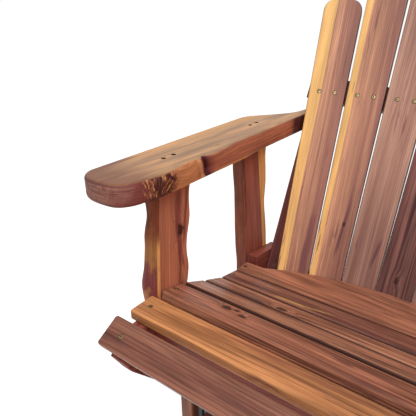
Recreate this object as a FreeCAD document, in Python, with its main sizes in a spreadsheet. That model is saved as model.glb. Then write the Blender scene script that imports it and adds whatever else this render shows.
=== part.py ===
import FreeCAD, Part
import math
import os

# Lawn chair with a fanned, hollowed back that glides on four hanging links and turns on a ball race.
# Millimetres, +Z up, the sitter faces -Y, origin on the floor under the swivel axis.

Vector = FreeCAD.Vector
Rotation = FreeCAD.Rotation
Placement = FreeCAD.Placement

doc = FreeCAD.newDocument("SwivelGlider")
sheet = doc.addObject("Spreadsheet::Sheet", "Sizes")

sizes = [
    # crossed floor planks and their feet
    ("plank_length", 700),
    ("plank_width", 90),
    ("plank_thick", 38),
    ("foot_height", 10),
    ("foot_dia", 50),
    ("foot_inset", 35),
    # ball race and king bolt
    ("race_outer", 290),
    ("race_inner", 90),
    ("race_thick", 8),
    ("race_gap", 3),
    ("ball_dia", 10),
    ("ball_circle", 260),
    ("ball_count", 24),
    ("ball_clear", 0.05),
    ("king_dia", 12),
    ("king_head_dia", 20),
    ("king_head_thick", 8),
    ("king_recess", 12),
    ("king_pocket_clear", 2),
    ("king_nut_dia", 28),
    ("king_nut_thick", 12),
    ("king_tail", 4),
    ("run_clear", 0.05),
    ("lift_clear", 0.3),
    # turntable
    ("cross_width", 90),
    ("cross_thick", 31),
    ("cross_spacing", 190),
    ("beam_length", 400),
    ("beam_height", 90),
    ("beam_thick", 38),
    # pivot brackets, rockshafts and links
    ("bracket_thick", 6),
    ("bracket_width", 56),
    ("bracket_foot", 42),
    ("bracket_bolt_inset", 18),
    ("bracket_bolt_pitch", 30),
    ("shaft_drop", 143.9),
    ("shaft_dia", 16),
    ("shaft_tail", 1),
    ("bearing_wall", 4),
    ("bearing_flange", 3),
    ("bearing_lip", 5),
    ("bearing_length", 12),
    ("link_length", 144),
    ("link_width", 34),
    ("link_thick", 12),
    ("head_room", 1.6),
    ("link_side_gap", 4),
    ("link_bush_wall", 3),
    ("pivot_dia", 12),
    ("pivot_head_dia", 20),
    ("pivot_head_thick", 8),
    ("pivot_collar_dia", 22),
    ("pivot_tail", 3),
    ("side_clear", 0.4),
    ("front_pivot_set", 44.6),
    # seat frame, levels counted down from the crest of the side rails
    ("seat_width", 614),
    ("seat_height", 407.9),
    ("crest_y", -184.6),
    ("front_step", 7),
    ("rail_thick", 25),
    ("rail_drop", 167.9),
    ("rail_nose", 45),
    ("rail_nose_run", 102),
    ("rear_flat", 46),
    ("rail_block_drop", 35.9),
    ("rail_end_set", 51.3),
    ("rail_end_drop", 50.9),
    ("slat_width", 55),
    ("slat_gap", 8),
    ("slat_thick", 20),
    ("slat_round", 5),
    ("slat_overhang", 10),
    ("apron_overhang", 24),
    ("slat_end_clear", 2),
    ("rear_slat_width", 112),
    ("rear_slat_end_width", 38),
    ("rear_slat_screw_at", 22),
    ("tilt_apron", 30),
    ("tilt_one", 0),
    ("tilt_two", -12),
    ("tilt_three", -24),
    ("tilt_four", -22),
    ("tilt_five", -10),
    ("tilt_rear", 1),
    ("stretcher_thick", 25),
    ("stretcher_height", 100),
    ("stretcher_ahead", 37.4),
    ("stretcher_drop", 11.9),
    ("hanger_width", 56),
    ("hanger_thick", 30),
    ("hanger_top_drop", 41.9),
    ("hanger_foot", 25),
    ("edge_round", 4),
    # posts and arms
    ("post_thick", 34),
    ("post_drop", 162.9),
    ("front_post_set", 7.6),
    ("front_post_width", 77),
    ("rear_post_ahead", 56.7),
    ("rear_post_width", 81),
    ("arm_rise", 206.7),
    ("arm_thick", 38),
    ("arm_width", 110),
    ("arm_ahead", 78.4),
    ("arm_shoulder_set", 24.3),
    ("arm_shoulder_taper", 4),
    ("arm_tail_width", 25),
    ("arm_tail_over", 9),
    ("arm_screw_inset", 24),
    ("arm_screw_pitch", 25),
    ("front_screw_set", 72.8),
    ("rear_screw_ahead", 1.2),
    # back
    ("back_lean", 27.4),
    ("back_set", 98.7),
    ("back_drop", 53.3),
    ("back_margin", 42),
    ("back_hollow", 62),
    ("back_apex", 2313),
    ("back_slat_thick", 16),
    ("back_slat_gap", 0.9),
    ("back_slat_flare", 0.023),
    ("back_slat_drop", 48),
    ("back_slat_corner", 26),
    ("back_slat_round", 2.5),
    ("back_long", 700),
    ("back_mid", 684),
    ("back_short", 648),
    ("back_outer", 592),
    ("back_clear", 2),
    ("upper_rail_at", 387),
    ("upper_rail_height", 52),
    ("upper_rail_thick", 20),
    ("upper_rail_clear", 1),
    ("lower_rail_at", -26),
    ("lower_rail_height", 36),
    ("lower_rail_thick", 40),
    ("upright_lean", 25.2),
    ("upright_set", 2.9),
    ("upright_width", 60),
    ("upright_up", 415),
    ("upright_foot", 15),
    # fasteners
    ("screw_dia", 4.5),
    ("screw_head_dia", 9),
    ("screw_head_depth", 3),
    ("slat_screw_length", 42),
    ("back_screw_length", 32),
    ("back_screw_offset", 16.5),
    ("arm_screw_length", 84),
    ("arm_side_screw_length", 46),
    ("race_screw_length", 28),
    ("beam_screw_length", 76),
    ("front_bolt_rise", 42),
    ("front_bolt_pitch", 35),
    ("rear_bolt_rise", 32),
    ("rear_bolt_pitch", 48),
    ("bolt_dia", 8),
    ("bolt_head_dia", 18),
    ("bolt_head_thick", 4),
    ("bolt_nut_dia", 15),
    ("bolt_nut_thick", 7),
    ("bolt_tail", 2),
]
for row, (alias, value) in enumerate(sizes, start=1):
    sheet.set("A%d" % row, alias)
    sheet.set("B%d" % row, str(value))
    sheet.setAlias("B%d" % row, alias)
doc.recompute()


def num(alias):
    return float(sheet.get(alias))


def bind(obj, **formulas):
    for prop, formula in formulas.items():
        obj.setExpression(prop, formula)
    return obj


def box(name, length, width, height, corner, turn=Rotation()):
    obj = doc.addObject("Part::Box", name)
    bind(obj, Length=length, Width=width, Height=height)
    obj.Placement = Placement(corner, turn)
    return obj


def cylinder(name, radius, height, base, turn=Rotation()):
    obj = doc.addObject("Part::Cylinder", name)
    bind(obj, Radius=radius, Height=height)
    obj.Placement = Placement(base, turn)
    return obj


def fuse(name, shapes):
    obj = doc.addObject("Part::MultiFuse", name)
    obj.Shapes = shapes
    return obj


def gather(name, links):
    obj = doc.addObject("Part::Compound", name)
    obj.Links = links
    return obj


def cut(name, base, tools):
    obj = doc.addObject("Part::Cut", name)
    obj.Base = base
    obj.Tool = tools[0] if len(tools) == 1 else gather(name + "_holes", tools)
    return obj


def rounded(name, base, radius, wanted=lambda edge: True):
    doc.recompute()
    obj = doc.addObject("Part::Fillet", name)
    obj.Base = base
    edges = enumerate(base.Shape.Edges, start=1)
    obj.Edges = [(index, radius, radius) for index, edge in edges if wanted(edge)]
    return obj


def prism(name, geometry, length, place):
    body = doc.addObject("PartDesign::Body", name)
    sketch = body.newObject("Sketcher::SketchObject", name + "_outline")
    plane = [item for item in body.Origin.OriginFeatures if item.Role == "XY_Plane"][0]
    sketch.AttachmentSupport = [(plane, "")]
    sketch.MapMode = "FlatFace"
    sketch.addGeometry(geometry, False)
    doc.recompute()
    pad = body.newObject("PartDesign::Pad", name + "_pad")
    pad.Profile = sketch
    pad.setExpression("Length", length)
    body.Tip = pad
    body.Placement = place
    return body


def polyline(points):
    closed = points + points[:1]
    pairs = zip(closed[:-1], closed[1:])
    return [Part.LineSegment(Vector(a[0], a[1], 0), Vector(b[0], b[1], 0)) for a, b in pairs]


def spline(points):
    curve = Part.BSplineCurve()
    curve.interpolate([Vector(x, y, 0) for x, y in points])
    return curve


def line(first, last):
    return Part.LineSegment(Vector(first[0], first[1], 0), Vector(last[0], last[1], 0))


def copies(name, placed):
    doc.recompute()
    solids = []
    for master, place in placed:
        solid = master.Shape.copy()
        solid.Placement = place
        solids.append(solid)
    obj = doc.addObject("Part::Feature", name)
    obj.Shape = Part.makeCompound(solids)
    return obj


def aimed(head, into):
    return Placement(head, Rotation(Vector(0, 0, -1), into))


# side views are drawn in the YZ plane and thickened along +X
SIDE = Rotation(Vector(1, 1, 1), 120)
ALONG_X = Rotation(Vector(0, 1, 0), 90)
ALONG_MINUS_X = Rotation(Vector(0, 1, 0), -90)
UP = Vector(0, 0, 1)
DOWN = Vector(0, 0, -1)
SIDES = (("left", -1), ("right", 1))


def screw(name, length):
    shank_radius = "Sizes.screw_dia / 2"
    head = doc.addObject("Part::Cone", name + "_head")
    bind(head, Radius1=shank_radius, Radius2="Sizes.screw_head_dia / 2", Height="Sizes.screw_head_depth")
    head.Placement = Placement(Vector(0, 0, -num("screw_head_depth")), Rotation())
    shank_length = "Sizes.%s - Sizes.screw_head_depth" % length
    shank = cylinder(name + "_shank", shank_radius, shank_length, Vector(0, 0, -num(length)))
    return fuse(name, [head, shank])


def bolt(name, grip_text, grip):
    head = cylinder(name + "_head", "Sizes.bolt_head_dia / 2", "Sizes.bolt_head_thick", Vector())
    reach = grip + num("bolt_nut_thick") + num("bolt_tail")
    shank_text = "%s + Sizes.bolt_nut_thick + Sizes.bolt_tail" % grip_text
    shank = cylinder(name + "_shank", "Sizes.bolt_dia / 2", shank_text, Vector(0, 0, -reach))
    nut = doc.addObject("Part::Prism", name + "_nut")
    nut.Polygon = 6
    bind(nut, Circumradius="Sizes.bolt_nut_dia / 2", Height="Sizes.bolt_nut_thick")
    nut.Placement = Placement(Vector(0, 0, -grip - num("bolt_nut_thick")), Rotation())
    return fuse(name, [head, shank, nut])


# stations across the chair, from the posts inward
post_in = num("seat_width") / 2
post_out = post_in + num("post_thick")
rail_in = post_in - num("rail_thick")
rail_mid = post_in - num("rail_thick") / 2
hanger_in = rail_in - num("hanger_thick")
link_out = hanger_in - num("link_side_gap")
link_in = link_out - num("link_thick")
link_gap = num("side_clear") + num("pivot_head_thick") + num("bolt_head_thick") + num("head_room")
bracket_out = link_in - link_gap
beam_out = bracket_out - num("bracket_thick")
beam_in = beam_out - num("beam_thick")
link_out_text = "(Sizes.seat_width / 2 - Sizes.rail_thick - Sizes.hanger_thick - Sizes.link_side_gap)"
link_gap_text = "Sizes.side_clear + Sizes.pivot_head_thick + Sizes.bolt_head_thick + Sizes.head_room"
beam_out_text = "(%s - Sizes.link_thick - (%s) - Sizes.bracket_thick)" % (link_out_text, link_gap_text)

# levels from the floor up
plank_top = num("foot_height") + num("plank_thick")
lower_race_top = plank_top + num("race_thick")
upper_race_bottom = lower_race_top + num("race_gap")
cross_bottom = upper_race_bottom + num("race_thick")
beam_bottom = cross_bottom + num("cross_thick")
seat_z = num("seat_height")
shaft_z = seat_z - num("shaft_drop")
pivot_z = shaft_z - num("link_length")
rail_bottom = seat_z - num("rail_drop")
post_bottom = seat_z - num("post_drop")
arm_bottom = seat_z + num("arm_rise")
arm_top = arm_bottom + num("arm_thick")
back_z = seat_z - num("back_drop")

# seat contour: one flat on the rail top under each slat, front to back
tilts = [num("tilt_" + word) for word in ("apron", "one", "two", "three", "four", "five", "rear")]
flat_length = num("slat_width") + num("slat_gap")


def along(tilt):
    return Vector(0, math.cos(math.radians(tilt)), math.sin(math.radians(tilt)))


def above(tilt):
    return Vector(0, -math.sin(math.radians(tilt)), math.cos(math.radians(tilt)))


crest = Vector(0, num("crest_y"), seat_z)
first_end = crest - UP * num("front_step")
first_start = first_end - along(tilts[1]) * flat_length
apron_start = first_start - along(tilts[0]) * flat_length
flats = [apron_start, first_start, crest]
for tilt in tilts[2:6]:
    flats.append(flats[-1] + along(tilt) * flat_length)
back_y = flats[6].y + num("back_set")


# upright line: front edge at a given level
def upright_front(level):
    upright_y = back_y + num("upright_set")
    return upright_y + (level - back_z) * math.tan(math.radians(num("upright_lean")))


upright_depth = num("upright_width") / math.cos(math.radians(num("upright_lean")))
front_pivot = Vector(0, num("crest_y") + num("front_pivot_set"), pivot_z)
rear_pivot = Vector(0, upright_front(pivot_z) + upright_depth / 2, pivot_z)
pivots = (("front", front_pivot), ("rear", rear_pivot))

nodes = []


def node(label, obj):
    obj.Label = label
    nodes.append(obj)
    return obj


# floor base: two planks crossed on the diagonals with a half lap
king_hole = cylinder("king_hole", "Sizes.king_dia / 2", "Sizes.foot_height + Sizes.plank_thick", Vector())
king_pocket = cylinder(
    "king_pocket", "Sizes.king_head_dia / 2 + Sizes.king_pocket_clear",
    "Sizes.foot_height + Sizes.king_recess", Vector(),
)
lower_race_screw = screw("lower_race_screw", "race_screw_length")
# race screws stand halfway between the bore and the ball groove
race_screw_at = (num("race_inner") + num("ball_circle") - num("ball_dia")) / 4
diagonals = [Rotation(UP, angle).multVec(Vector(1, 0, 0)) for angle in (45, 135, 225, 315)]
race_heads = [way * race_screw_at + UP * lower_race_top for way in diagonals]
lower_race_screws = copies("lower_race_screws", [(lower_race_screw, aimed(p, DOWN)) for p in race_heads])
lap = num("plank_thick") / 2
for name, angle, lap_level in (("base_plank_lower", 45, lap), ("base_plank_upper", 135, 0)):
    turn = Rotation(UP, angle)
    low = UP * num("foot_height")
    corner = turn.multVec(Vector(-num("plank_length") / 2, -num("plank_width") / 2, 0)) + low
    blank = box(
        name + "_blank", "Sizes.plank_length", "Sizes.plank_width", "Sizes.plank_thick", corner, turn,
    )
    soft = rounded(name + "_soft", blank, num("edge_round"))
    notch_corner = turn.multVec(Vector(-num("plank_width") / 2, -num("plank_width"), lap_level)) + low
    notch = box(
        name + "_notch", "Sizes.plank_width", "2 * Sizes.plank_width", "Sizes.plank_thick / 2",
        notch_corner, turn,
    )
    node(name, cut(name, soft, [notch, king_hole, king_pocket, lower_race_screws]))
feet = []
for index, way in enumerate(diagonals):
    base = way * (num("plank_length") / 2 - num("foot_inset"))
    feet.append(cylinder("foot_%d" % index, "Sizes.foot_dia / 2", "Sizes.foot_height", base))
node("base_feet", gather("base_feet", feet))
node("lower_race_screws", lower_race_screws)

# ball race
groove = doc.addObject("Part::Torus", "race_groove")
bind(groove, Radius1="Sizes.ball_circle / 2", Radius2="Sizes.ball_dia / 2 + Sizes.ball_clear")
ball_level = lower_race_top + num("race_gap") / 2
groove.Placement = Placement(UP * ball_level, Rotation())
lower_disc = cylinder("lower_disc", "Sizes.race_outer / 2", "Sizes.race_thick", UP * plank_top)
lower_bore = cylinder("lower_bore", "Sizes.race_inner / 2", "Sizes.race_thick", UP * plank_top)
node("swivel_lower_race", cut("swivel_lower_race", lower_disc, [lower_bore, groove, lower_race_screws]))
balls = []
for index in range(int(num("ball_count"))):
    ball = doc.addObject("Part::Sphere", "ball_%d" % index)
    bind(ball, Radius="Sizes.ball_dia / 2")
    spot = Rotation(UP, 360.0 * index / num("ball_count")).multVec(Vector(num("ball_circle") / 2, 0, 0))
    ball.Placement = Placement(spot + UP * ball_level, Rotation())
    balls.append(ball)
node("swivel_balls", gather("swivel_balls", balls))

cross_screw = screw("cross_screw", "race_screw_length")
beam_screw = screw("beam_screw", "beam_screw_length")
cross_y = num("cross_spacing") / 2
cross_screw_x = race_screw_at * math.cos(math.radians(60))
cross_screw_y = race_screw_at * math.sin(math.radians(60))
turntable_screws = []
for sx in (-1, 1):
    for sy in (-1, 1):
        race_head = Vector(sx * cross_screw_x, sy * cross_screw_y, upper_race_bottom)
        beam_head = Vector(sx * (beam_in + beam_out) / 2, sy * cross_y, cross_bottom)
        turntable_screws.append((cross_screw, aimed(race_head, UP)))
        turntable_screws.append((beam_screw, aimed(beam_head, UP)))
turn_screws = copies("turntable_screws", turntable_screws)
node("turntable_screws", turn_screws)

upper_disc = cylinder("upper_disc", "Sizes.race_outer / 2", "Sizes.race_thick", UP * upper_race_bottom)
upper_bore = cylinder(
    "upper_bore", "Sizes.king_dia / 2 + Sizes.run_clear", "Sizes.race_thick", UP * upper_race_bottom,
)
node("swivel_upper_race", cut("swivel_upper_race", upper_disc, [upper_bore, groove, turn_screws]))

king_head_z = num("foot_height") + num("king_recess") - num("king_head_thick")
king_head = cylinder("king_head", "Sizes.king_head_dia / 2", "Sizes.king_head_thick", UP * king_head_z)
king_nut_z = cross_bottom + num("lift_clear")
king_in_wood = "Sizes.plank_thick - Sizes.king_recess + Sizes.king_head_thick"
king_in_race = "2 * Sizes.race_thick + Sizes.race_gap"
king_in_nut = "Sizes.lift_clear + Sizes.king_nut_thick + Sizes.king_tail"
king_length = "%s + %s + %s" % (king_in_wood, king_in_race, king_in_nut)
king_shank = cylinder("king_shank", "Sizes.king_dia / 2", king_length, UP * king_head_z)
king_nut = doc.addObject("Part::Prism", "king_nut")
king_nut.Polygon = 6
bind(king_nut, Circumradius="Sizes.king_nut_dia / 2", Height="Sizes.king_nut_thick")
king_nut.Placement = Placement(UP * king_nut_z, Rotation())
node("king_bolt", fuse("king_bolt", [king_head, king_shank, king_nut]))

# turntable: two cross rails on the upper race and two side beams on the cross rails
for name, side in (("front", -1), ("rear", 1)):
    corner = Vector(-beam_out, side * cross_y - num("cross_width") / 2, cross_bottom)
    blank = box(
        name + "_cross_blank", "2 * " + beam_out_text, "Sizes.cross_width", "Sizes.cross_thick", corner,
    )
    label = name + "_cross_rail"
    node(label, cut(label, rounded(name + "_cross_soft", blank, num("edge_round")), [turn_screws]))

beam_grip = num("beam_thick") + num("bracket_thick")
beam_bolt = bolt("beam_bolt", "Sizes.beam_thick + Sizes.bracket_thick", beam_grip)
bracket_bottom = beam_bottom + num("bracket_foot")
bolt_level = bracket_bottom + num("bracket_bolt_inset")
bracket_placed = []
for side in (-1, 1):
    for pivot in (front_pivot, rear_pivot):
        for way in (-1, 1):
            bolt_y = pivot.y + way * num("bracket_bolt_pitch") / 2
            head = Vector(side * bracket_out, bolt_y, bolt_level)
            bracket_placed.append((beam_bolt, aimed(head, Vector(-side, 0, 0))))
bracket_bolts = copies("bracket_bolts", bracket_placed)
for word, side in SIDES:
    corner = Vector(min(side * beam_in, side * beam_out), -num("beam_length") / 2, beam_bottom)
    blank = box(word + "_beam_blank", "Sizes.beam_thick", "Sizes.beam_length", "Sizes.beam_height", corner)
    soft = rounded(word + "_beam_soft", blank, num("edge_round"))
    label = word + "_glider_beam"
    node(label, cut(label, soft, [bracket_bolts, turn_screws]))
node("bracket_bolts", bracket_bolts)

# pivot brackets with flanged bearings, rockshafts and hanging links
bearing_radius = "Sizes.shaft_dia / 2 + Sizes.bearing_wall"
base_stack = "Sizes.foot_height + Sizes.plank_thick + 2 * Sizes.race_thick + Sizes.race_gap"
plate_foot = "%s + Sizes.cross_thick + Sizes.bracket_foot" % base_stack
plate_length = "Sizes.seat_height - Sizes.shaft_drop - (%s)" % plate_foot
for end, pivot in pivots:
    plates = []
    bearings = []
    for word, side in SIDES:
        tag = "%s_%s" % (word, end)
        inner = min(side * beam_out, side * bracket_out)
        top = Vector(inner, pivot.y, shaft_z)
        foot_corner = Vector(inner, pivot.y - num("bracket_width") / 2, bracket_bottom)
        plate = box(tag + "_plate", "Sizes.bracket_thick", "Sizes.bracket_width", plate_length, foot_corner)
        eye = cylinder(tag + "_eye", "Sizes.bracket_width / 2", "Sizes.bracket_thick", top, ALONG_X)
        seat_hole = cylinder(tag + "_seat", bearing_radius, "Sizes.bracket_thick", top, ALONG_X)
        blank = fuse(tag + "_bracket_blank", [plate, eye])
        plates.append(cut(tag + "_bracket", blank, [seat_hole, bracket_bolts]))
        turn = ALONG_X if side > 0 else ALONG_MINUS_X
        start = Vector(side * beam_out, pivot.y, shaft_z)
        sleeve = cylinder(tag + "_sleeve", bearing_radius, "Sizes.bearing_length", start, turn)
        lip_start = Vector(side * bracket_out, pivot.y, shaft_z)
        lip_radius = bearing_radius + " + Sizes.bearing_lip"
        lip = cylinder(tag + "_lip", lip_radius, "Sizes.bearing_flange", lip_start, turn)
        bore_radius = "Sizes.shaft_dia / 2 + Sizes.run_clear"
        bore = cylinder(tag + "_bore", bore_radius, "Sizes.bearing_length", start, turn)
        bearings.append(cut(tag + "_bearing", fuse(tag + "_bearing_blank", [sleeve, lip]), [bore]))
    node(end + "_pivot_brackets", gather(end + "_pivot_brackets", plates))
    node(end + "_shaft_bearings", gather(end + "_shaft_bearings", bearings))

    shaft_start = Vector(-link_out - num("shaft_tail"), pivot.y, shaft_z)
    shaft_length = "2 * (%s + Sizes.shaft_tail)" % link_out_text
    shaft = cylinder(end + "_shaft", "Sizes.shaft_dia / 2", shaft_length, shaft_start, ALONG_X)
    node(end + "_rockshaft", shaft)
    bushes = []
    for word, side in SIDES:
        tag = "%s_%s" % (word, end)
        inner = min(side * link_in, side * link_out)
        bar_corner = Vector(inner, pivot.y - num("link_width") / 2, pivot_z)
        bar = box(tag + "_bar", "Sizes.link_thick", "Sizes.link_width", "Sizes.link_length", bar_corner)
        top = Vector(inner, pivot.y, shaft_z)
        low = Vector(inner, pivot.y, pivot_z)
        top_eye = cylinder(tag + "_top_eye", "Sizes.link_width / 2", "Sizes.link_thick", top, ALONG_X)
        low_eye = cylinder(tag + "_low_eye", "Sizes.link_width / 2", "Sizes.link_thick", low, ALONG_X)
        top_hole = cylinder(tag + "_top_hole", "Sizes.shaft_dia / 2", "Sizes.link_thick", top, ALONG_X)
        bush_radius = "Sizes.pivot_dia / 2 + Sizes.link_bush_wall"
        low_hole = cylinder(tag + "_low_hole", bush_radius, "Sizes.link_thick", low, ALONG_X)
        blank = fuse(tag + "_link_blank", [bar, top_eye, low_eye])
        node(tag + "_link", cut(tag + "_link", blank, [top_hole, low_hole]))
        outside = cylinder(tag + "_bush_out", bush_radius, "Sizes.link_thick", low, ALONG_X)
        inside_radius = "Sizes.pivot_dia / 2 + Sizes.run_clear"
        inside = cylinder(tag + "_bush_in", inside_radius, "Sizes.link_thick", low, ALONG_X)
        bushes.append(cut(tag + "_bush", outside, [inside]))
    node(end + "_link_bushes", gather(end + "_link_bushes", bushes))

# shoulder bolts through the lower ends of the links
pivot_grip = "Sizes.pivot_head_thick + Sizes.side_clear + Sizes.link_thick + Sizes.link_side_gap"
pivot_length = pivot_grip + " + Sizes.hanger_thick + Sizes.bolt_nut_thick + Sizes.pivot_tail"
shoulder_bolts = []
for end, pivot in pivots:
    for word, side in SIDES:
        tag = "%s_%s_pivot" % (word, end)
        turn = ALONG_X if side > 0 else ALONG_MINUS_X
        head_x = link_in - num("side_clear") - num("pivot_head_thick")
        head_at = Vector(side * head_x, pivot.y, pivot_z)
        head = cylinder(tag + "_head", "Sizes.pivot_head_dia / 2", "Sizes.pivot_head_thick", head_at, turn)
        shank = cylinder(tag + "_shank", "Sizes.pivot_dia / 2", pivot_length, head_at, turn)
        collar_at = Vector(side * (link_out + num("side_clear")), pivot.y, pivot_z)
        collar_length = "Sizes.link_side_gap - Sizes.side_clear"
        collar = cylinder(tag + "_collar", "Sizes.pivot_collar_dia / 2", collar_length, collar_at, turn)
        nut_at = Vector(side * rail_in, pivot.y, pivot_z)
        nut = doc.addObject("Part::Prism", tag + "_nut")
        nut.Polygon = 6
        bind(nut, Circumradius="Sizes.pivot_head_dia / 2", Height="Sizes.bolt_nut_thick")
        nut.Placement = Placement(nut_at, turn)
        shoulder_bolts.append(fuse(tag + "_bolt", [head, shank, collar, nut]))
pivot_bolts = gather("pivot_bolts", shoulder_bolts)
node("pivot_bolts", pivot_bolts)

# seat slats, laid on the rail flats, and the screws at their ends
slat_screw = screw("slat_screw", "slat_screw_length")
screw_offsets = [flat_length / 2] * 6 + [num("rear_slat_screw_at")]
slat_placed = []
for flat, tilt, offset in zip(flats, tilts, screw_offsets):
    head = flat + along(tilt) * offset + above(tilt) * num("slat_thick")
    for side in (-1, 1):
        spot = head + Vector(side * rail_mid, 0, 0)
        slat_placed.append((slat_screw, aimed(spot, above(tilt) * -1)))
slat_screws = copies("seat_slat_screws", slat_placed)

# hollow of the back: slat fronts are tangent to a cone whose point lies below the seat
lean = math.radians(num("back_lean"))
rise = Vector(0, math.sin(lean), math.cos(lean))
behind = Vector(0, math.cos(lean), -math.sin(lean))
back_origin = Vector(0, back_y, back_z)
apex = back_origin - rise * num("back_apex")
hollow_radius = (rail_in ** 2 + num("back_hollow") ** 2) / (2 * num("back_hollow"))
half_angle = math.atan(hollow_radius / num("back_apex"))
cone_axis = rise * math.cos(half_angle) - behind * math.sin(half_angle)
cone_radius = num("back_apex") * math.sin(half_angle)
back_pitch = 2 * (rail_in - num("back_margin")) / 7
fan_step = math.degrees(2 * math.asin(back_pitch / 2 / cone_radius))


def fanned(point, steps):
    return apex + Rotation(cone_axis, fan_step * steps).multVec(point - apex)


def fanned_way(way, steps):
    return Rotation(cone_axis, fan_step * steps).multVec(way)


SLAT_WORDS = ("front_apron_slat", "seat_slat_1", "seat_slat_2", "seat_slat_3", "seat_slat_4", "seat_slat_5")
for index, label in enumerate(SLAT_WORDS):
    tilt = tilts[index]
    half = post_in - num("slat_end_clear")
    reach = "Sizes.seat_width - 2 * Sizes.slat_end_clear"
    if index < 2:
        overhang = "slat_overhang" if index else "apron_overhang"
        half = post_in + num(overhang)
        reach = "Sizes.seat_width + 2 * Sizes." + overhang
    corner = flats[index] + along(tilt) * (num("slat_gap") / 2) - Vector(half, 0, 0)
    turn = Rotation(Vector(1, 0, 0), tilt)
    blank = box(label + "_blank", reach, "Sizes.slat_width", "Sizes.slat_thick", corner, turn)
    node(label, cut(label, rounded(label + "_soft", blank, num("slat_round")), [slat_screws]))

rear_half = post_in - num("slat_end_clear")
rear_corner = flats[6] + along(tilts[6]) * (num("slat_gap") / 2) - Vector(rear_half, 0, 0)
rear_turn = Rotation(Vector(1, 0, 0), tilts[6])
rear_reach = "Sizes.seat_width - 2 * Sizes.slat_end_clear"
rear_blank = box("rear_slat_blank", rear_reach, "Sizes.rear_slat_width", "Sizes.slat_thick", rear_corner, rear_turn)
hollow = doc.addObject("Part::Cone", "back_hollow_cone")
hollow.Radius1 = 0
chord = "(Sizes.seat_width / 2 - Sizes.rail_thick)"
hollow_text = "(%s * %s / Sizes.back_hollow + Sizes.back_hollow) / 2" % (chord, chord)
bind(hollow, Radius2="1.5 * " + hollow_text, Height="1.5 * Sizes.back_apex")
cone_point = apex + cone_axis * (num("back_clear") / math.sin(half_angle))
hollow.Placement = Placement(cone_point, Rotation(UP, cone_axis))
rear_shaped = doc.addObject("Part::Common", "rear_slat_shaped")
rear_shaped.Base = rounded("rear_slat_soft", rear_blank, num("slat_round"))
rear_shaped.Tool = hollow
# beside the back its rear edge is straight
strip = box("rear_slat_strip", rear_reach, "Sizes.rear_slat_end_width", "Sizes.slat_thick", rear_corner, rear_turn)
rear_whole = fuse("rear_slat_whole", [rear_shaped, rounded("rear_slat_strip_soft", strip, num("slat_round"))])
rear_whole.Refine = True
node("rear_seat_slat", cut("rear_seat_slat", rear_whole, [slat_screws]))
node("seat_slat_screws", slat_screws)

# bolts through each post, its seat rail and the hanger or upright inside
stack_text = "Sizes.post_thick + Sizes.rail_thick + Sizes.hanger_thick"
stack = num("post_thick") + num("rail_thick") + num("hanger_thick")
frame_bolt = bolt("frame_bolt", stack_text, stack)
front_bolt_z = shaft_z + num("front_bolt_rise")
rear_bolt_z = rail_bottom + num("rear_bolt_rise")
bolt_spots = [(front_pivot.y, level) for level in (front_bolt_z, front_bolt_z + num("front_bolt_pitch"))]
for level in (rear_bolt_z, rear_bolt_z + num("rear_bolt_pitch")):
    bolt_spots.append((upright_front(level) + upright_depth / 2, level))
bolt_placed = []
for side in (-1, 1):
    for y, z in bolt_spots:
        bolt_placed.append((frame_bolt, aimed(Vector(side * post_out, y, z), Vector(-side, 0, 0))))
frame_bolts = copies("frame_bolts", bolt_placed)

# seat side rails and front stretcher
nose = flats[0] - above(tilts[0]) * num("rail_nose")
block_foot = flats[6] + along(tilts[6]) * (num("rear_flat") / along(tilts[6]).y)
rail_end_y = back_y + num("rail_end_set")
rail_outline = [(flat.y, flat.z) for flat in flats[:2]]
rail_outline += [(first_end.y, first_end.z)]
rail_outline += [(flat.y, flat.z) for flat in flats[2:]]
rail_outline += [(block_foot.y, block_foot.z), (block_foot.y, seat_z - num("rail_block_drop"))]
rail_outline += [(rail_end_y, seat_z - num("rail_end_drop")), (rail_end_y, rail_bottom)]
rail_outline += [(flats[0].y + num("rail_nose_run"), rail_bottom), (nose.y, nose.z)]
for word, side in SIDES:
    start = Vector(min(side * rail_in, side * post_in), 0, 0)
    rail = prism(word + "_rail_board", polyline(rail_outline), "Sizes.rail_thick", Placement(start, SIDE))
    label = word + "_seat_rail"
    node(label, cut(label, rail, [slat_screws, frame_bolts]))
stretcher_bottom = seat_z - num("stretcher_drop") - num("stretcher_height")
stretcher_corner = Vector(-rail_in, num("crest_y") - num("stretcher_ahead"), stretcher_bottom)
stretcher = box(
    "front_stretcher", "Sizes.seat_width - 2 * Sizes.rail_thick", "Sizes.stretcher_thick",
    "Sizes.stretcher_height", stretcher_corner,
)
node("front_stretcher", stretcher)

# front hangers carry the front link pivots below the rails
hanger_above = "Sizes.shaft_drop - Sizes.hanger_top_drop"
hanger_height = hanger_above + " + Sizes.link_length + Sizes.hanger_foot"
for word, side in SIDES:
    inner = min(side * hanger_in, side * rail_in)
    corner = Vector(inner, front_pivot.y - num("hanger_width") / 2, pivot_z - num("hanger_foot"))
    blank = box(word + "_hanger_blank", "Sizes.hanger_thick", "Sizes.hanger_width", hanger_height, corner)
    soft = rounded(word + "_hanger_soft", blank, num("edge_round"))
    label = word + "_front_hanger"
    node(label, cut(label, soft, [frame_bolts, pivot_bolts]))

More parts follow.
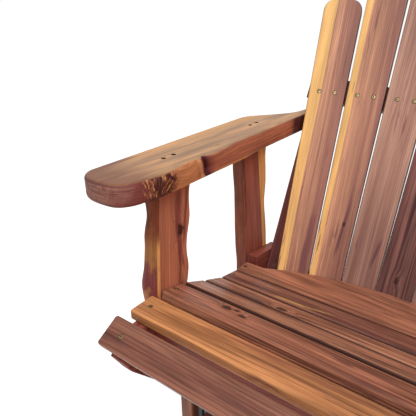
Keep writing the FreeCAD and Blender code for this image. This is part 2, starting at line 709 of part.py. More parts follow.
# arm screws: two down into each post and one sideways from each upright
arm_screw = screw("arm_screw", "arm_screw_length")
side_screw = screw("arm_side_screw", "arm_side_screw_length")
side_level = arm_bottom + num("arm_thick") / 2
side_y = upright_front(side_level) + upright_depth / 2
front_screw_y = num("crest_y") + num("front_screw_set")
rear_screw_y = back_y - num("rear_screw_ahead")
half_pitch = num("arm_screw_pitch") / 2
arm_screw_spots = [y + way * half_pitch for y in (front_screw_y, rear_screw_y) for way in (-1, 1)]
arm_placed = []
for side in (-1, 1):
    for y in arm_screw_spots:
        top_head = Vector(side * (post_in + num("arm_screw_inset")), y, arm_top)
        arm_placed.append((arm_screw, aimed(top_head, DOWN)))
    side_head = Vector(side * hanger_in, side_y, side_level)
    arm_placed.append((side_screw, aimed(side_head, Vector(side, 0, 0))))
arm_screws = copies("arm_screws", arm_placed)

# posts with waney edges: (share of the height, how far the edge strays towards the rear)
post_height = arm_bottom - post_bottom
front_post_y = num("crest_y") + num("front_post_set")
rear_post_y = back_y - num("rear_post_ahead")
post_edges = {
    "front": (
        front_post_y, [(0, 0), (0.24, -6), (0.42, -7), (0.55, -3), (0.7, 2), (0.85, 7), (1, 12)],
        front_post_y + num("front_post_width"),
        [(1, 24), (0.9, 13), (0.78, 12), (0.7, 5), (0.61, 1), (0.54, 5), (0.44, 0), (0.23, -1), (0, -4)],
    ),
    "rear": (
        rear_post_y, [(0, 13), (0.29, 6), (0.5, 0), (0.69, -3), (0.91, -10), (1, -11)],
        rear_post_y + num("rear_post_width"),
        [(1, -3), (0.89, -8), (0.76, -3), (0.64, -6), (0.47, 3), (0.3, 9), (0, 14)],
    ),
}
for end, (front_y, front_strays, rear_y, rear_strays) in post_edges.items():
    front_edge = [(front_y + stray, post_bottom + share * post_height) for share, stray in front_strays]
    rear_edge = [(rear_y + stray, post_bottom + share * post_height) for share, stray in rear_strays]
    outline = [
        spline(front_edge),
        line(front_edge[-1], rear_edge[0]),
        spline(rear_edge),
        line(rear_edge[-1], front_edge[0]),
    ]
    for word, side in SIDES:
        start = Vector(min(side * post_in, side * post_out), 0, 0)
        label = "%s_%s_post" % (word, end)
        board = prism(label + "_board", outline, "Sizes.post_thick", Placement(start, SIDE))
        node(label, cut(label, board, [frame_bolts, arm_screws]))

# arms: waney inner edge, rounded front, tail that narrows beside the upright
arm_front = num("crest_y") - num("arm_ahead")
shoulder_y = back_y + num("arm_shoulder_set")
shoulder_width = num("arm_width") - num("arm_shoulder_taper")
tail_y = upright_front(arm_top) + upright_depth + num("arm_tail_over")
tail_narrowing = shoulder_width - num("arm_tail_width")
# (distance behind the front end, how far the edge strays outward)
inner_strays = [(363, 0), (303, 1), (233, -4), (191, -6), (155, 1), (113, -3), (73, -4), (48, 2)]
# (distance behind the front end, share of the width)
nose_shares = [(22, 0.08), (5, 0.22), (0, 0.44), (0.5, 0.64), (9, 0.87), (33, 1)]
# (share of the way from shoulder to tail, share of the narrowing still to come)
tail_shares = [(0, 1), (0.15, 0.91), (0.29, 0.65), (0.44, 0.36), (0.57, 0.15), (0.74, 0.04), (1, 0)]
inner_edge = [(rail_in + stray, arm_front + back) for back, stray in inner_strays]
nose_edge = inner_edge[-1:]
nose_edge += [(rail_in + share * num("arm_width"), arm_front + back) for back, share in nose_shares]
tail_edge = []
for way, share in tail_shares:
    tail_x = rail_in + num("arm_tail_width") + share * tail_narrowing
    tail_edge.append((tail_x, shoulder_y + way * (tail_y - shoulder_y)))
outer_edge = [nose_edge[-1], tail_edge[0]]
tail_in = (rail_in, tail_y)
for word, side in SIDES:
    def turned(points):
        return [(side * x, y) for x, y in points]

    outline = [
        line(*turned([tail_in, inner_edge[0]])),
        spline(turned(inner_edge)),
        spline(turned(nose_edge)),
        line(*turned(outer_edge)),
        spline(turned(tail_edge)),
        line(*turned([tail_edge[-1], tail_in])),
    ]
    label = word + "_arm"
    board = prism(label + "_board", outline, "Sizes.arm_thick", Placement(UP * arm_bottom, Rotation()))
    node(label, cut(label, board, [arm_screws]))
node("arm_screws", arm_screws)

# back slats: flared boards set round the cone, tallest in the middle
back_screw = screw("back_screw", "back_screw_length")
back_placed = []
for steps in range(-3, 4):
    for level in (num("upper_rail_at"), num("lower_rail_at")):
        for offset in (-num("back_screw_offset"), num("back_screw_offset")):
            spot = back_origin + rise * level + Vector(offset, 0, 0)
            way = fanned_way(behind, steps)
            back_placed.append((back_screw, aimed(fanned(spot, steps), way)))
back_screws = copies("back_slat_screws", back_placed)

slat_frame = Rotation(Vector(-1, 0, 0), rise, behind, "ZYX")
slat_base = "2 * (Sizes.seat_width / 2 - Sizes.rail_thick - Sizes.back_margin) / 7 - Sizes.back_slat_gap"
lengths = ["back_outer", "back_short", "back_mid", "back_long", "back_mid", "back_short", "back_outer"]
for steps, length in zip(range(-3, 4), lengths):
    label = "back_slat_%d" % (4 - steps)
    base_half = "(%s - Sizes.back_slat_flare * Sizes.back_slat_drop) / 2" % slat_base
    top_half = "(%s + Sizes.back_slat_flare * Sizes.%s) / 2" % (slat_base, length)
    board = doc.addObject("Part::Wedge", label + "_board")
    bind(
        board, Xmin="-" + base_half, Xmax=base_half, X2min="-" + top_half, X2max=top_half,
        Ymin="-Sizes.back_slat_drop", Ymax="Sizes." + length,
        Zmax="Sizes.back_slat_thick", Z2max="Sizes.back_slat_thick",
    )
    board.Zmin = 0
    board.Z2min = 0
    doc.recompute()
    crown = num(length)

    def is_corner(edge):
        return edge.BoundBox.YMin > crown - 1 and edge.BoundBox.XLength < 0.01

    def is_front(edge):
        return edge.BoundBox.ZMax < 0.01 and edge.BoundBox.YMax > -num("back_slat_drop") + 1

    shaped = rounded(label + "_shaped", board, num("back_slat_corner"), is_corner)
    soft = rounded(label + "_soft", shaped, num("back_slat_round"), is_front)
    fanned_frame = Rotation(cone_axis, fan_step * steps) * slat_frame
    soft.Placement = Placement(fanned(back_origin, steps), fanned_frame)
    node(label, cut(label, soft, [back_screws]))


# back rails lie against the rear faces of the slats
def meet(planes):
    (first, a), (second, b), (third, c) = planes
    scale = first.dot(second.cross(third))
    return (second.cross(third) * a + third.cross(first) * b + first.cross(second) * c) * (1 / scale)


def slat_plane(steps, depth):
    normal = fanned_way(behind, steps)
    return normal, normal.dot(fanned(back_origin + behind * depth, steps))


def chain(level, depth, half):
    across = (rise, rise.dot(back_origin) + level)
    left_end = (Vector(1, 0, 0), -half)
    right_end = (Vector(1, 0, 0), half)
    order = sorted(range(-3, 4), key=lambda steps: fanned(back_origin, steps).x)
    points = [meet((across, left_end, slat_plane(order[0], depth)))]
    for first, second in zip(order[:-1], order[1:]):
        points.append(meet((across, slat_plane(first, depth), slat_plane(second, depth))))
    points.append(meet((across, right_end, slat_plane(order[-1], depth))))
    return points


def back_rail(label, middle, height, thick, half):
    rings = []
    for level in (middle - height / 2, middle + height / 2):
        ring = doc.addObject("Part::Polygon", "%s_ring_%d" % (label, len(rings)))
        front = chain(level, num("back_slat_thick"), half)
        rear = chain(level, num("back_slat_thick") + thick, half)
        ring.Nodes = front + rear[::-1]
        ring.Close = True
        rings.append(ring)
    loft = doc.addObject("Part::Loft", label + "_blank")
    loft.Sections = rings
    loft.Solid = True
    loft.Ruled = True
    return loft


upper_blank = back_rail(
    "upper_back_rail", num("upper_rail_at"), num("upper_rail_height"), num("upper_rail_thick"),
    rail_in - num("upper_rail_clear"),
)
lower_blank = back_rail(
    "lower_back_rail", num("lower_rail_at"), num("lower_rail_height"), num("lower_rail_thick"), hanger_in,
)
node("upper_back_rail", cut("upper_back_rail", upper_blank, [back_screws]))
node("lower_back_rail", cut("lower_back_rail", lower_blank, [back_screws]))
node("back_slat_screws", back_screws)

# back uprights, notched for the upper rail, run down past the seat rails to the rear pivots
tip = Rotation(Vector(1, 0, 0), -num("upright_lean"))
pivot_along = "(Sizes.back_drop - Sizes.shaft_drop - Sizes.link_length) / cos(Sizes.upright_lean)"
pivot_across = "Sizes.upright_width / 2 * tan(Sizes.upright_lean)"
upright_length = "Sizes.upright_up + Sizes.upright_foot - (%s) - %s" % (pivot_along, pivot_across)
foot_front = rear_pivot + tip.multVec(Vector(0, -num("upright_width") / 2, -num("upright_foot")))
for word, side in SIDES:
    corner = foot_front + Vector(min(side * hanger_in, side * rail_in), 0, 0)
    blank = box(
        word + "_upright_blank", "Sizes.hanger_thick", "Sizes.upright_width", upright_length, corner, tip,
    )
    soft = rounded(word + "_upright_soft", blank, num("edge_round"))
    label = word + "_back_upright"
    node(label, cut(label, soft, [frame_bolts, pivot_bolts, arm_screws, upper_blank]))
node("frame_bolts", frame_bolts)

doc.recompute()
for obj in doc.Objects:
    if "Invalid" in obj.State or "Error" in obj.State:
        raise RuntimeError("%s did not build" % obj.Label)
for obj in nodes:
    if obj.Shape.isNull() or not obj.Shape.isValid():
        raise RuntimeError("%s has no valid shape" % obj.Label)
os.makedirs("parts", exist_ok=True)
for obj in nodes:
    obj.Shape.exportStep("parts/%s.step" % obj.Label)
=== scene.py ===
import math

import bmesh
import bpy
import numpy as np
from mathutils import Matrix, Vector, noise


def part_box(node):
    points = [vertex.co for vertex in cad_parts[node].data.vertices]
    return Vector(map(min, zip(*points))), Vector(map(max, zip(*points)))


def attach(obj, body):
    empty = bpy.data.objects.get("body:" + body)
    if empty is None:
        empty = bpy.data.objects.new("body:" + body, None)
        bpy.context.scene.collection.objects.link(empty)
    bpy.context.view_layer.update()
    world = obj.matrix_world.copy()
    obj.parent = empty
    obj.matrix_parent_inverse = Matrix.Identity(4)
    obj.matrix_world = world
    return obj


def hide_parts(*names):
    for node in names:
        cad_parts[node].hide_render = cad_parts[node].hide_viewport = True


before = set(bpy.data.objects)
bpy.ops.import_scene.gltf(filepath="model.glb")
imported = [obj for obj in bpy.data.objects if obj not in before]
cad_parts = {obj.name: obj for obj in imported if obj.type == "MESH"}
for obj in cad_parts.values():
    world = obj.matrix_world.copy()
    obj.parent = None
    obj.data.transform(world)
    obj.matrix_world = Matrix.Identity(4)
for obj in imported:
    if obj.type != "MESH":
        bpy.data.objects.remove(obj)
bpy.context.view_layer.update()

# camera, from the photograph's picture of 416 by 416 pixels
CAMERA_PLACE = Vector((0.193, -0.67, 0.9025))
CAMERA_TURN = math.radians(38.3)
CAMERA_PITCH = math.radians(24.5)
CAMERA_ROLL = math.radians(-1.1)
PICTURE_WIDTH = 416
FOCAL_PIXELS = 470
SENSOR = 36
CLIP_START = 0.02

X_AXIS = Vector((1, 0, 0))
Y_AXIS = Vector((0, 1, 0))
Z_AXIS = Vector((0, 0, 1))
# a board that stands on edge along Y: outline in Y and Z, thickness along X
SIDE_AXES = (Y_AXIS, Z_AXIS, X_AXIS)
# left is -X, the side that the photograph shows
SIDES = (("left", -1), ("right", 1))

OPAQUE = 1

# places along the left arm's waney edge, as y and z in the row frame
BURL_AT = (-0.178, 0.632)
BURL_REACH = 0.031
EYE_AT = (-0.118, 0.631)
EYE_REACH = 0.03
CLEFT_TOP = (-0.0795, 0.6526)
CLEFT_FOOT = (-0.0666, 0.6146)
CLEFT_WIDTH = 0.0042


class Graph:
    """Adds nodes to one node tree. An input is a socket, a number, a vector or a colour of three numbers."""

    def __init__(self, tree):
        self.tree = tree

    def plug(self, value, socket):
        if isinstance(value, bpy.types.NodeSocket):
            self.tree.links.new(value, socket)
        elif socket.type == "RGBA":
            socket.default_value = (*value, OPAQUE)
        else:
            socket.default_value = value

    def fill(self, node, inputs):
        for key, value in inputs.items():
            self.plug(value, node.inputs[key])

    def node(self, kind, inputs=None, **settings):
        made = self.tree.nodes.new(kind)
        for name, value in settings.items():
            setattr(made, name, value)
        self.fill(made, inputs or {})
        return made

    def math(self, operation, *values, clamp=False):
        made = self.node("ShaderNodeMath", dict(enumerate(values)), operation=operation, use_clamp=clamp)
        return made.outputs[0]

    def times(self, first, *others):
        for other in others:
            first = self.math("MULTIPLY", first, other)
        return first

    def plus(self, first, second, clamp=False):
        return self.math("ADD", first, second, clamp=clamp)

    def minus(self, first, second):
        return self.math("SUBTRACT", first, second)

    def over(self, first, second):
        return self.math("DIVIDE", first, second)

    def larger(self, first, second):
        return self.math("MAXIMUM", first, second)

    def size(self, value):
        return self.math("ABSOLUTE", value)

    def raised(self, value, factor, base):
        """A base with a multiple of a value added."""
        return self.math("MULTIPLY_ADD", value, factor, base)

    def swayed(self, drift, reach, base):
        """A base that sways by a share of a reach with a noise about its middle."""
        return self.raised(self.minus(drift, 0.5), reach, base)

    def vector(self, operation, *values):
        made = self.node("ShaderNodeVectorMath", dict(enumerate(values)), operation=operation)
        single = operation in ("DOT_PRODUCT", "LENGTH")
        return made.outputs["Value" if single else "Vector"]

    def scaled(self, vector, factor):
        made = self.node("ShaderNodeVectorMath", {"Vector": vector, "Scale": factor}, operation="SCALE")
        return made.outputs["Vector"]

    def parts(self, vector):
        return self.node("ShaderNodeSeparateXYZ", {"Vector": vector}).outputs

    def joined(self, x, y, z=0):
        return self.node("ShaderNodeCombineXYZ", {"X": x, "Y": y, "Z": z}).outputs["Vector"]

    def length(self, x, y):
        return self.vector("LENGTH", self.joined(x, y))

    def noise_at(self, vector, seed, detail=3, roughness=0.55, output="Fac"):
        made = self.node(
            "ShaderNodeTexNoise",
            {"Vector": vector, "W": seed, "Scale": 1, "Detail": detail, "Roughness": roughness},
            noise_dimensions="4D",
        )
        return made.outputs[output]

    def noise(self, vector, stretch, *settings):
        """Noise with its own number of waves per metre along each axis."""
        return self.noise_at(self.vector("MULTIPLY", vector, stretch), *settings)

    def spread(self, value, low, high, start=0, end=1, kind="SMOOTHSTEP"):
        made = self.node(
            "ShaderNodeMapRange",
            {"Value": value, "From Min": low, "From Max": high, "To Min": start, "To Max": end},
            interpolation_type=kind,
        )
        return made.outputs["Result"]

    def window(self, value, rise, fall):
        """1 between two soft limits, each given by where it is 0 and where it is 1."""
        return self.times(self.spread(value, *rise), self.spread(value, *fall))

    def mix(self, share, first, second, kind="MIX"):
        made = self.node("ShaderNodeMix", data_type="RGBA", blend_type=kind)
        self.fill(made, {0: share, 6: first, 7: second})
        return made.outputs[2]

    def toned(self, colour, tone):
        """A colour made lighter or darker by a factor."""
        return self.mix(1, colour, self.joined(tone, tone, tone), "MULTIPLY")

    def ramp(self, value, stops):
        made = self.node("ShaderNodeValToRGB", {"Fac": value})
        elements = made.color_ramp.elements
        while len(elements) < len(stops):
            elements.new(1)
        for element, (place, colour) in zip(elements, stops):
            element.position = place
            element.color = (*colour, OPAQUE)
        return made.outputs["Color"]


class Board:
    """Middle of a node with its own axes: across, along and out of its show face."""

    def __init__(self, node, face):
        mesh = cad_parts[node].data
        centres = np.array([polygon.center for polygon in mesh.polygons])
        areas = np.array([polygon.area for polygon in mesh.polygons])
        low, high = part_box(node)
        self.middle = (low + high) / 2
        spread = centres - np.average(centres, axis=0, weights=areas)
        axes = np.linalg.eigh((spread * areas[:, None]).T @ spread)[1]
        self.out = Vector(axes[:, 0])
        if self.out.dot(face) < 0:
            self.out.negate()
        self.along = Vector(axes[:, 2])
        if max(self.along, key=abs) < 0:
            self.along.negate()
        self.across = self.along.cross(self.out)

    def turn(self):
        """Rotation from the board's axes to the row frame."""
        return Matrix((self.across, self.along, self.out)).transposed().to_euler()

    def local(self, point):
        """A point of the row frame in board axes."""
        gap = Vector(point) - self.middle
        return Vector((gap.dot(self.across), gap.dot(self.along), gap.dot(self.out)))


class Wood(Graph):
    """The surface of one board: its point and normal, and the colour and height laid on it so far."""

    def __init__(self, tree, board):
        super().__init__(tree)
        self.board = board
        here = self.node("ShaderNodeTexCoord").outputs
        axes = {"Vector": here["Object"], "Location": board.middle, "Rotation": board.turn()}
        self.spot = self.node("ShaderNodeMapping", axes, vector_type="TEXTURE").outputs["Vector"]
        self.place = self.parts(self.spot)
        self.normal = here["Normal"]

    def pattern(self, stretch, *settings):
        """Noise over the board's own axes."""
        return self.noise(self.spot, stretch, *settings)

    def facing(self, direction):
        return self.vector("DOT_PRODUCT", self.normal, direction)

    def sideways(self, low=0.2, high=0.55):
        """1 where the surface faces across the board, either way."""
        return self.spread(self.size(self.facing(self.board.across)), low, high)

    def lay(self, share, colour, relief=None):
        """Lays a colour, and a relief if there is one, on a share of the surface."""
        self.colour = self.mix(share, self.colour, colour)
        if relief:
            self.height = self.raised(share, relief, self.height)


# heartwood colours: pale, deep and the streaks between them
TONES = {
    "salmon": ((0.72, 0.345, 0.205), (0.42, 0.178, 0.128), (0.29, 0.12, 0.1)),
    "rose": ((0.62, 0.345, 0.245), (0.4, 0.185, 0.135), (0.26, 0.115, 0.1)),
    "wine": ((0.34, 0.15, 0.118), (0.18, 0.062, 0.053), (0.075, 0.03, 0.03)),
    "honey": ((0.7, 0.305, 0.118), (0.57, 0.225, 0.088), (0.33, 0.115, 0.055)),
    "russet": ((0.5, 0.205, 0.115), (0.32, 0.112, 0.065), (0.19, 0.066, 0.047)),
    "umber": ((0.56, 0.255, 0.145), (0.37, 0.15, 0.088), (0.2, 0.078, 0.056)),
    "plum": ((0.36, 0.15, 0.095), (0.22, 0.077, 0.055), (0.12, 0.043, 0.038)),
    "brick": ((0.56, 0.185, 0.095), (0.43, 0.13, 0.07), (0.24, 0.066, 0.048)),
    "terracotta": ((0.68, 0.235, 0.125), (0.54, 0.175, 0.092), (0.34, 0.098, 0.07)),
    # dark red, partly the wood's colour and partly painted shade for boards under the seat
    "shaded_red": ((0.37, 0.094, 0.06), (0.28, 0.066, 0.044), (0.14, 0.033, 0.026)),
    "mahogany": ((0.44, 0.125, 0.078), (0.33, 0.088, 0.055), (0.18, 0.045, 0.036)),
    "dusk": ((0.3, 0.11, 0.1), (0.2, 0.062, 0.058), (0.11, 0.034, 0.036)),
    # near black, a painted shade for boards that sit in shadow
    "shadow": ((0.15, 0.05, 0.036), (0.1, 0.032, 0.026), (0.06, 0.02, 0.018)),
}
SAPWOOD = (1, 0.57, 0.19)
SAP_FADE = 0.0014
NO_SAP = 9
END_GRAIN = (0.42, 0.36, 0.36)
# near black of knots, also used for painted shade round screws and along arm edges
KNOT_AND_SHADE_COLOUR = (0.04, 0.012, 0.011)
# a knot is longer along the board and runs through it
KNOT_STRETCH = (1, 0.62, 0.2)
RINGS_PER_METRE = 300
GRAIN_SWAY = (0.016, 0, 0.016)
WOOD_BUMP = {"Strength": 0.3, "Distance": 0.0006}
# satin clear finish
SATIN = {"Specular IOR Level": 0.14, "Coat Weight": 0.03, "Coat Roughness": 0.34}


def new_material(name):
    material = bpy.data.materials.new(name)
    material.use_nodes = True
    return material, Graph(material.node_tree), material.node_tree.nodes["Principled BSDF"]


def knotted(wood, place, centre, size, dark):
    """One knot: the place with its rings lifted round the centre, and how dark knots make it there."""
    gap = wood.vector("MULTIPLY", wood.vector("SUBTRACT", place, centre), KNOT_STRETCH)
    distance = wood.over(wood.vector("LENGTH", gap), size)
    lift = wood.times(wood.math("EXPONENT", wood.times(distance, distance, -0.45)), 1.5 * size)
    ragged = wood.noise(place, (260, 200, 260), 2, 2)
    core = wood.times(wood.spread(wood.swayed(ragged, 0.9, distance), 1.05, 0.5), 0.9)
    return wood.vector("ADD", place, wood.joined(0, 0, lift)), wood.larger(core, dark)


def heartwood(wood, place, tone, seed, pith=(0.02, -0.08), lean=(0, 0), sap=NO_SAP, core=0, gain=0,
              sapwood=SAPWOOD, figure=1):
    """Red cedar as a solid: rings about a pith line, sapwood outside, fibres along the board. Pith is across
    and out from the board's middle, sap a ring radius. Lays colour and height and returns the roughness."""
    pale, deep, streak = TONES[tone]
    # slow sway of the grain along the board
    sway = wood.noise(place, (9, 1.6, 9), seed, 2, 0.5, "Color")
    sway = wood.vector("MULTIPLY", wood.vector("SUBTRACT", sway, (0.5, 0.5, 0.5)), GRAIN_SWAY)
    bent = wood.vector("ADD", place, sway)
    along = wood.parts(bent)["Y"]
    offset = wood.vector("SUBTRACT", bent, (pith[0], 0, pith[1]))
    offset = wood.vector("SUBTRACT", offset, wood.scaled((lean[0], 0, lean[1]), along))
    across = wood.parts(offset)
    radius = wood.length(across["X"], across["Z"])
    # wide heartwood bands and narrow dark streaks follow the rings
    bands = wood.noise_at(wood.joined(wood.times(radius, 75), wood.times(along, 1.1)), seed + 3.1, 4, 0.66)
    shade = wood.plus(wood.spread(bands, 0.32, 0.68), wood.times(wood.minus(radius, core), gain), clamp=True)
    lines = wood.noise_at(wood.joined(wood.times(radius, 330), wood.times(along, 2.6)), seed + 7.7, 3, 0.6)
    wash = wood.noise(place, (14, 2.5, 14), seed + 11.3, 2)
    streaks = wood.times(wood.spread(lines, 0.47, 0.66), wood.spread(wash, 0.34, 0.62), 0.85 * figure)
    heart = wood.mix(streaks, wood.mix(shade, deep, pale), streak)
    # growth rings, each dark at its outer side
    late = wood.window(wood.math("FRACT", wood.times(radius, RINGS_PER_METRE)), (0.35, 0.92), (1, 0.92))
    fibre = wood.noise(bent, (1100, 16, 1100), seed + 5, 2)
    fleck = wood.noise(bent, (330, 7, 330), seed + 9, 2)
    mottle = wood.noise(bent, (44, 4.5, 44), seed + 15, 4, 0.62)
    light = wood.times(wood.spread(fibre, 0.3, 0.7, 0.88, 1.1), wood.spread(fleck, 0.3, 0.7, 0.82, 1.15),
                       wood.spread(late, 0, 1, 1.05, 0.82, "LINEAR"),
                       wood.spread(mottle, 0.3, 0.7, 0.74, 1.2))
    light = wood.raised(wood.minus(light, 1), figure, 1)
    # sapwood begins sharply at its radius
    outside = wood.spread(radius, sap - SAP_FADE, sap + SAP_FADE)
    pale_sap = wood.mix(wood.spread(lines, 0.35, 0.75, 0, 0.35), sapwood, pale)
    wood.colour = wood.toned(wood.mix(outside, heart, pale_sap), light)
    wood.height = wood.plus(wood.times(fibre, 0.6), wood.times(late, 0.25))
    # end grain drinks more finish and shows darker
    end = wood.spread(wood.size(wood.facing(wood.board.along)), 0.6, 0.95)
    wood.lay(wood.times(end, 0.45), wood.mix(1, wood.colour, END_GRAIN, "MULTIPLY"))
    return wood.plus(wood.spread(fibre, 0.3, 0.7, 0.36, 0.5), wood.times(end, 0.22))


def cedar(name, board, tone, seed, knots=(), patches=(), **settings):
    """Cedar for one board. Knots are (across, along, size), and a patch changes part of the surface."""
    material, graph, shader = new_material(name)
    wood = Wood(graph.tree, board)
    place, dark = wood.spot, 0
    for across, along, size in knots:
        place, dark = knotted(wood, place, (across, along, 0), size, dark)
    rough = heartwood(wood, place, tone, seed, **settings)
    wood.height = wood.minus(wood.height, wood.times(dark, 0.4))
    for lay_patch in patches:
        lay_patch(wood)
    wood.lay(dark, KNOT_AND_SHADE_COLOUR)
    bump = wood.node("ShaderNodeBump", {"Height": wood.height, **WOOD_BUMP})
    looks = {"Base Color": wood.colour, "Roughness": rough, "Normal": bump.outputs["Normal"]}
    wood.fill(shader, {**looks, **SATIN})
    return material


def patch(make):
    """Lets a function of a wood and settings be given its settings now and its wood later."""
    return lambda *settings: lambda wood: make(wood, *settings)


STRIPE_FADE = 0.02


@patch
def stripe(wood, start, end, width, colour, seed):
    """A broken band of another colour along the grain, between two points that are (x, y, z) in the row frame
    or (across, along) on the board."""
    ends = [wood.board.local(point) if len(point) == 3 else Vector((*point, 0)) for point in (start, end)]
    first, last = sorted(ends, key=lambda point: point.y)
    along = wood.place["Y"]
    middle = wood.spread(along, first.y, last.y, first.x, last.x, "LINEAR")
    middle = wood.swayed(wood.pattern((20, 9, 20), seed, 3), 1.8 * width, middle)
    gap = wood.size(wood.minus(wood.place["X"], middle))
    reach = wood.window(along, (first.y - STRIPE_FADE, first.y + STRIPE_FADE),
                        (last.y + STRIPE_FADE, last.y - STRIPE_FADE))
    flow = wood.pattern((420, 14, 420), seed + 1, 3)
    broken = wood.pattern((70, 18, 70), seed + 2, 2)
    shown = wood.spread(wood.facing(wood.board.out), 0.1, 0.45)
    share = wood.times(wood.spread(gap, 0.7 * width, 0.35 * width), reach, shown)
    ragged = wood.times(wood.spread(flow, 0.25, 0.6, 0.35), wood.spread(broken, 0.3, 0.46, 0.25))
    wood.lay(wood.times(share, ragged), colour)


@patch
def waney(wood, stops, seed, sway=0.1):
    """The natural outside of the log on a board's long edges, with colours along the board."""
    blotch = wood.pattern((34, 13, 34), seed, 4, 0.6)
    grain = wood.pattern((300, 11, 300), seed + 4, 4, 0.6)
    edge = wood.swayed(blotch, 0.55, wood.size(wood.facing(wood.board.across)))
    along = wood.swayed(grain, sway, wood.swayed(blotch, 4 * sway, wood.place["Y"]))
    skin = wood.ramp(wood.spread(along, -0.2, 0.2, kind="LINEAR"), stops)
    skin = wood.toned(skin, wood.spread(grain, 0.3, 0.7, 0.62, 1.25))
    ridges = wood.raised(grain, 1.6, wood.times(blotch, 1.2))
    wood.lay(wood.spread(edge, 0.52, 0.74), skin, ridges)


BURL_FIBRES = ((0.42, (0.09, 0.02, 0.02)), (0.5, (0.24, 0.062, 0.04)), (0.57, (0.54, 0.21, 0.072)),
               (0.68, (0.8, 0.44, 0.14)))
BURL_DARK = (0.06, 0.014, 0.016)


@patch
def burl(wood, at, reach, seed):
    """A burl at (along, out) on the board, its yellow and dark fibres fanned from a point below."""
    along = wood.over(wood.minus(wood.place["Y"], at[0]), reach)
    rise = wood.over(wood.minus(wood.place["Z"], at[1]), reach)
    loose = wood.minus(wood.pattern((85, 85, 85), seed, 3, 0.6), 0.5)
    distance = wood.raised(loose, 1.5, wood.length(along, rise))
    lateral = wood.raised(loose, 0.22, wood.plus(along, 0.4))
    upright = wood.plus(rise, 1.25)
    angle = wood.math("ARCTAN2", lateral, upright)
    far = wood.length(lateral, upright)
    lines = wood.noise_at(wood.joined(wood.times(angle, 21), wood.times(far, 1.9)), seed + 2, 2)
    pits = wood.noise_at(wood.joined(wood.times(angle, 6), wood.times(far, 3.6)), seed + 6)
    core = wood.size(wood.raised(loose, 0.9, wood.plus(along, 0.18)))
    dim = wood.larger(wood.spread(core, 0.26, 0.06), wood.spread(rise, -0.22, -0.44))
    dim = wood.larger(wood.times(dim, 0.85), wood.spread(pits, 0.5, 0.62))
    skin = wood.mix(dim, wood.ramp(lines, BURL_FIBRES), BURL_DARK)
    wood.lay(wood.times(wood.spread(distance, 1.1, 0.55), wood.sideways()), skin, wood.times(lines, 5))


EYE_RINGS = ((0.32, (0.4, 0.12, 0.055)), (0.5, (0.6, 0.22, 0.09)), (0.68, (0.76, 0.32, 0.13)))


@patch
def eye(wood, at, reach, seed):
    """Orange wood round a lost branch, its grain hung in arcs from the upper edge."""
    along = wood.minus(wood.place["Y"], at[0])
    loose = wood.minus(wood.pattern((40, 40, 40), seed, 3), 0.5)
    middle = wood.length(along, wood.minus(wood.place["Z"], at[1]))
    distance = wood.raised(loose, 0.6, wood.over(middle, reach))
    drop = wood.times(wood.minus(wood.place["Z"], at[1] + 1.15 * reach), 1.3)
    arcs = wood.raised(loose, 0.012, wood.length(along, drop))
    rings = wood.noise_at(wood.joined(wood.times(arcs, 210), 0), seed + 1, 3, 0.6)
    wood.lay(wood.times(wood.spread(distance, 1.3, 0.8), wood.sideways()), wood.ramp(rings, EYE_RINGS))


# lip, hollow and core of a cleft, painted light on the lip and painted shade in the hollow and core: where
# each begins and ends in widths, its share and colour
CLEFT_LIGHT_AND_SHADE = (
    ((-3.2, -2.2), (-0.6, -1.2), 0.8, (0.74, 0.31, 0.12)),
    ((-0.4, 0.2), (8.5, 3.6), 0.75, (0.2, 0.036, 0.036)),
    ((-0.5, 0), (4.6, 2.4), 0.95, (0.065, 0.01, 0.013)),
)


@patch
def cleft(wood, start, end, width):
    """A cleft between two points (along, out): painted shade in its core, painted light on the lip before it
    and painted shade in the hollow behind it.
    """
    slope = (end[0] - start[0]) / (end[1] - start[1])
    line = wood.raised(wood.minus(wood.place["Z"], start[1]), slope, start[0])
    line = wood.swayed(wood.pattern((90, 90, 90), 5, 2), width, line)
    gap = wood.over(wood.minus(wood.place["Y"], line), width)
    below = wood.colour
    for rise, fall, share, colour in CLEFT_LIGHT_AND_SHADE:
        wood.lay(wood.times(wood.window(gap, rise, fall), share), colour)
    wood.colour = wood.mix(wood.sideways(0.1, 0.35), below, wood.colour)


GREY_LINES = ((0.36, (0.1, 0.036, 0.034)), (0.48, (0.33, 0.14, 0.104)), (0.66, (0.44, 0.2, 0.14)))
GREY_BLOTCH = (0.13, 0.05, 0.044)
GREY_RIM = (0.12, 0.042, 0.042)
NOSE_FADE = (-0.282, -0.318)


@patch
def grey_front(wood, seed):
    """The weathered front end of an arm, grey brown with fine dark lines round it."""
    front = wood.swayed(wood.pattern((18, 18, 30), seed, 3), 0.09, wood.place["Y"])
    lines = wood.pattern((16, 16, 430), seed + 1, 4, 0.62)
    blotch = wood.pattern((120, 120, 55), seed + 2, 4, 0.65)
    skin = wood.mix(wood.spread(blotch, 0.5, 0.66, 0, 0.65), wood.ramp(lines, GREY_LINES), GREY_BLOTCH)
    rim = wood.window(wood.facing(wood.board.out), (0.25, 0.45), (0.95, 0.75))
    wood.lay(wood.spread(front, *NOSE_FADE), wood.mix(wood.times(rim, 0.8), skin, GREY_RIM))


@patch
def lower_arris(wood, level, reach, colour, seed):
    """A thin bright line along the lower edges of a board."""
    rise = wood.swayed(wood.pattern((30, 9, 30), seed, 3), -1.4 * reach, wood.place["Z"])
    wood.lay(wood.spread(rise, level + reach, level + 0.5 * reach), colour)


@patch
def dusky_end(wood, start, end, colour):
    """A side that darkens along the board between two places."""
    wood.lay(wood.times(wood.spread(wood.place["Y"], start, end), wood.sideways(0.2, 0.5), 0.85), colour)


# tint that darkens heartwood towards one end of a board
DARKENING_TINT = (0.3, 0.24, 0.3)


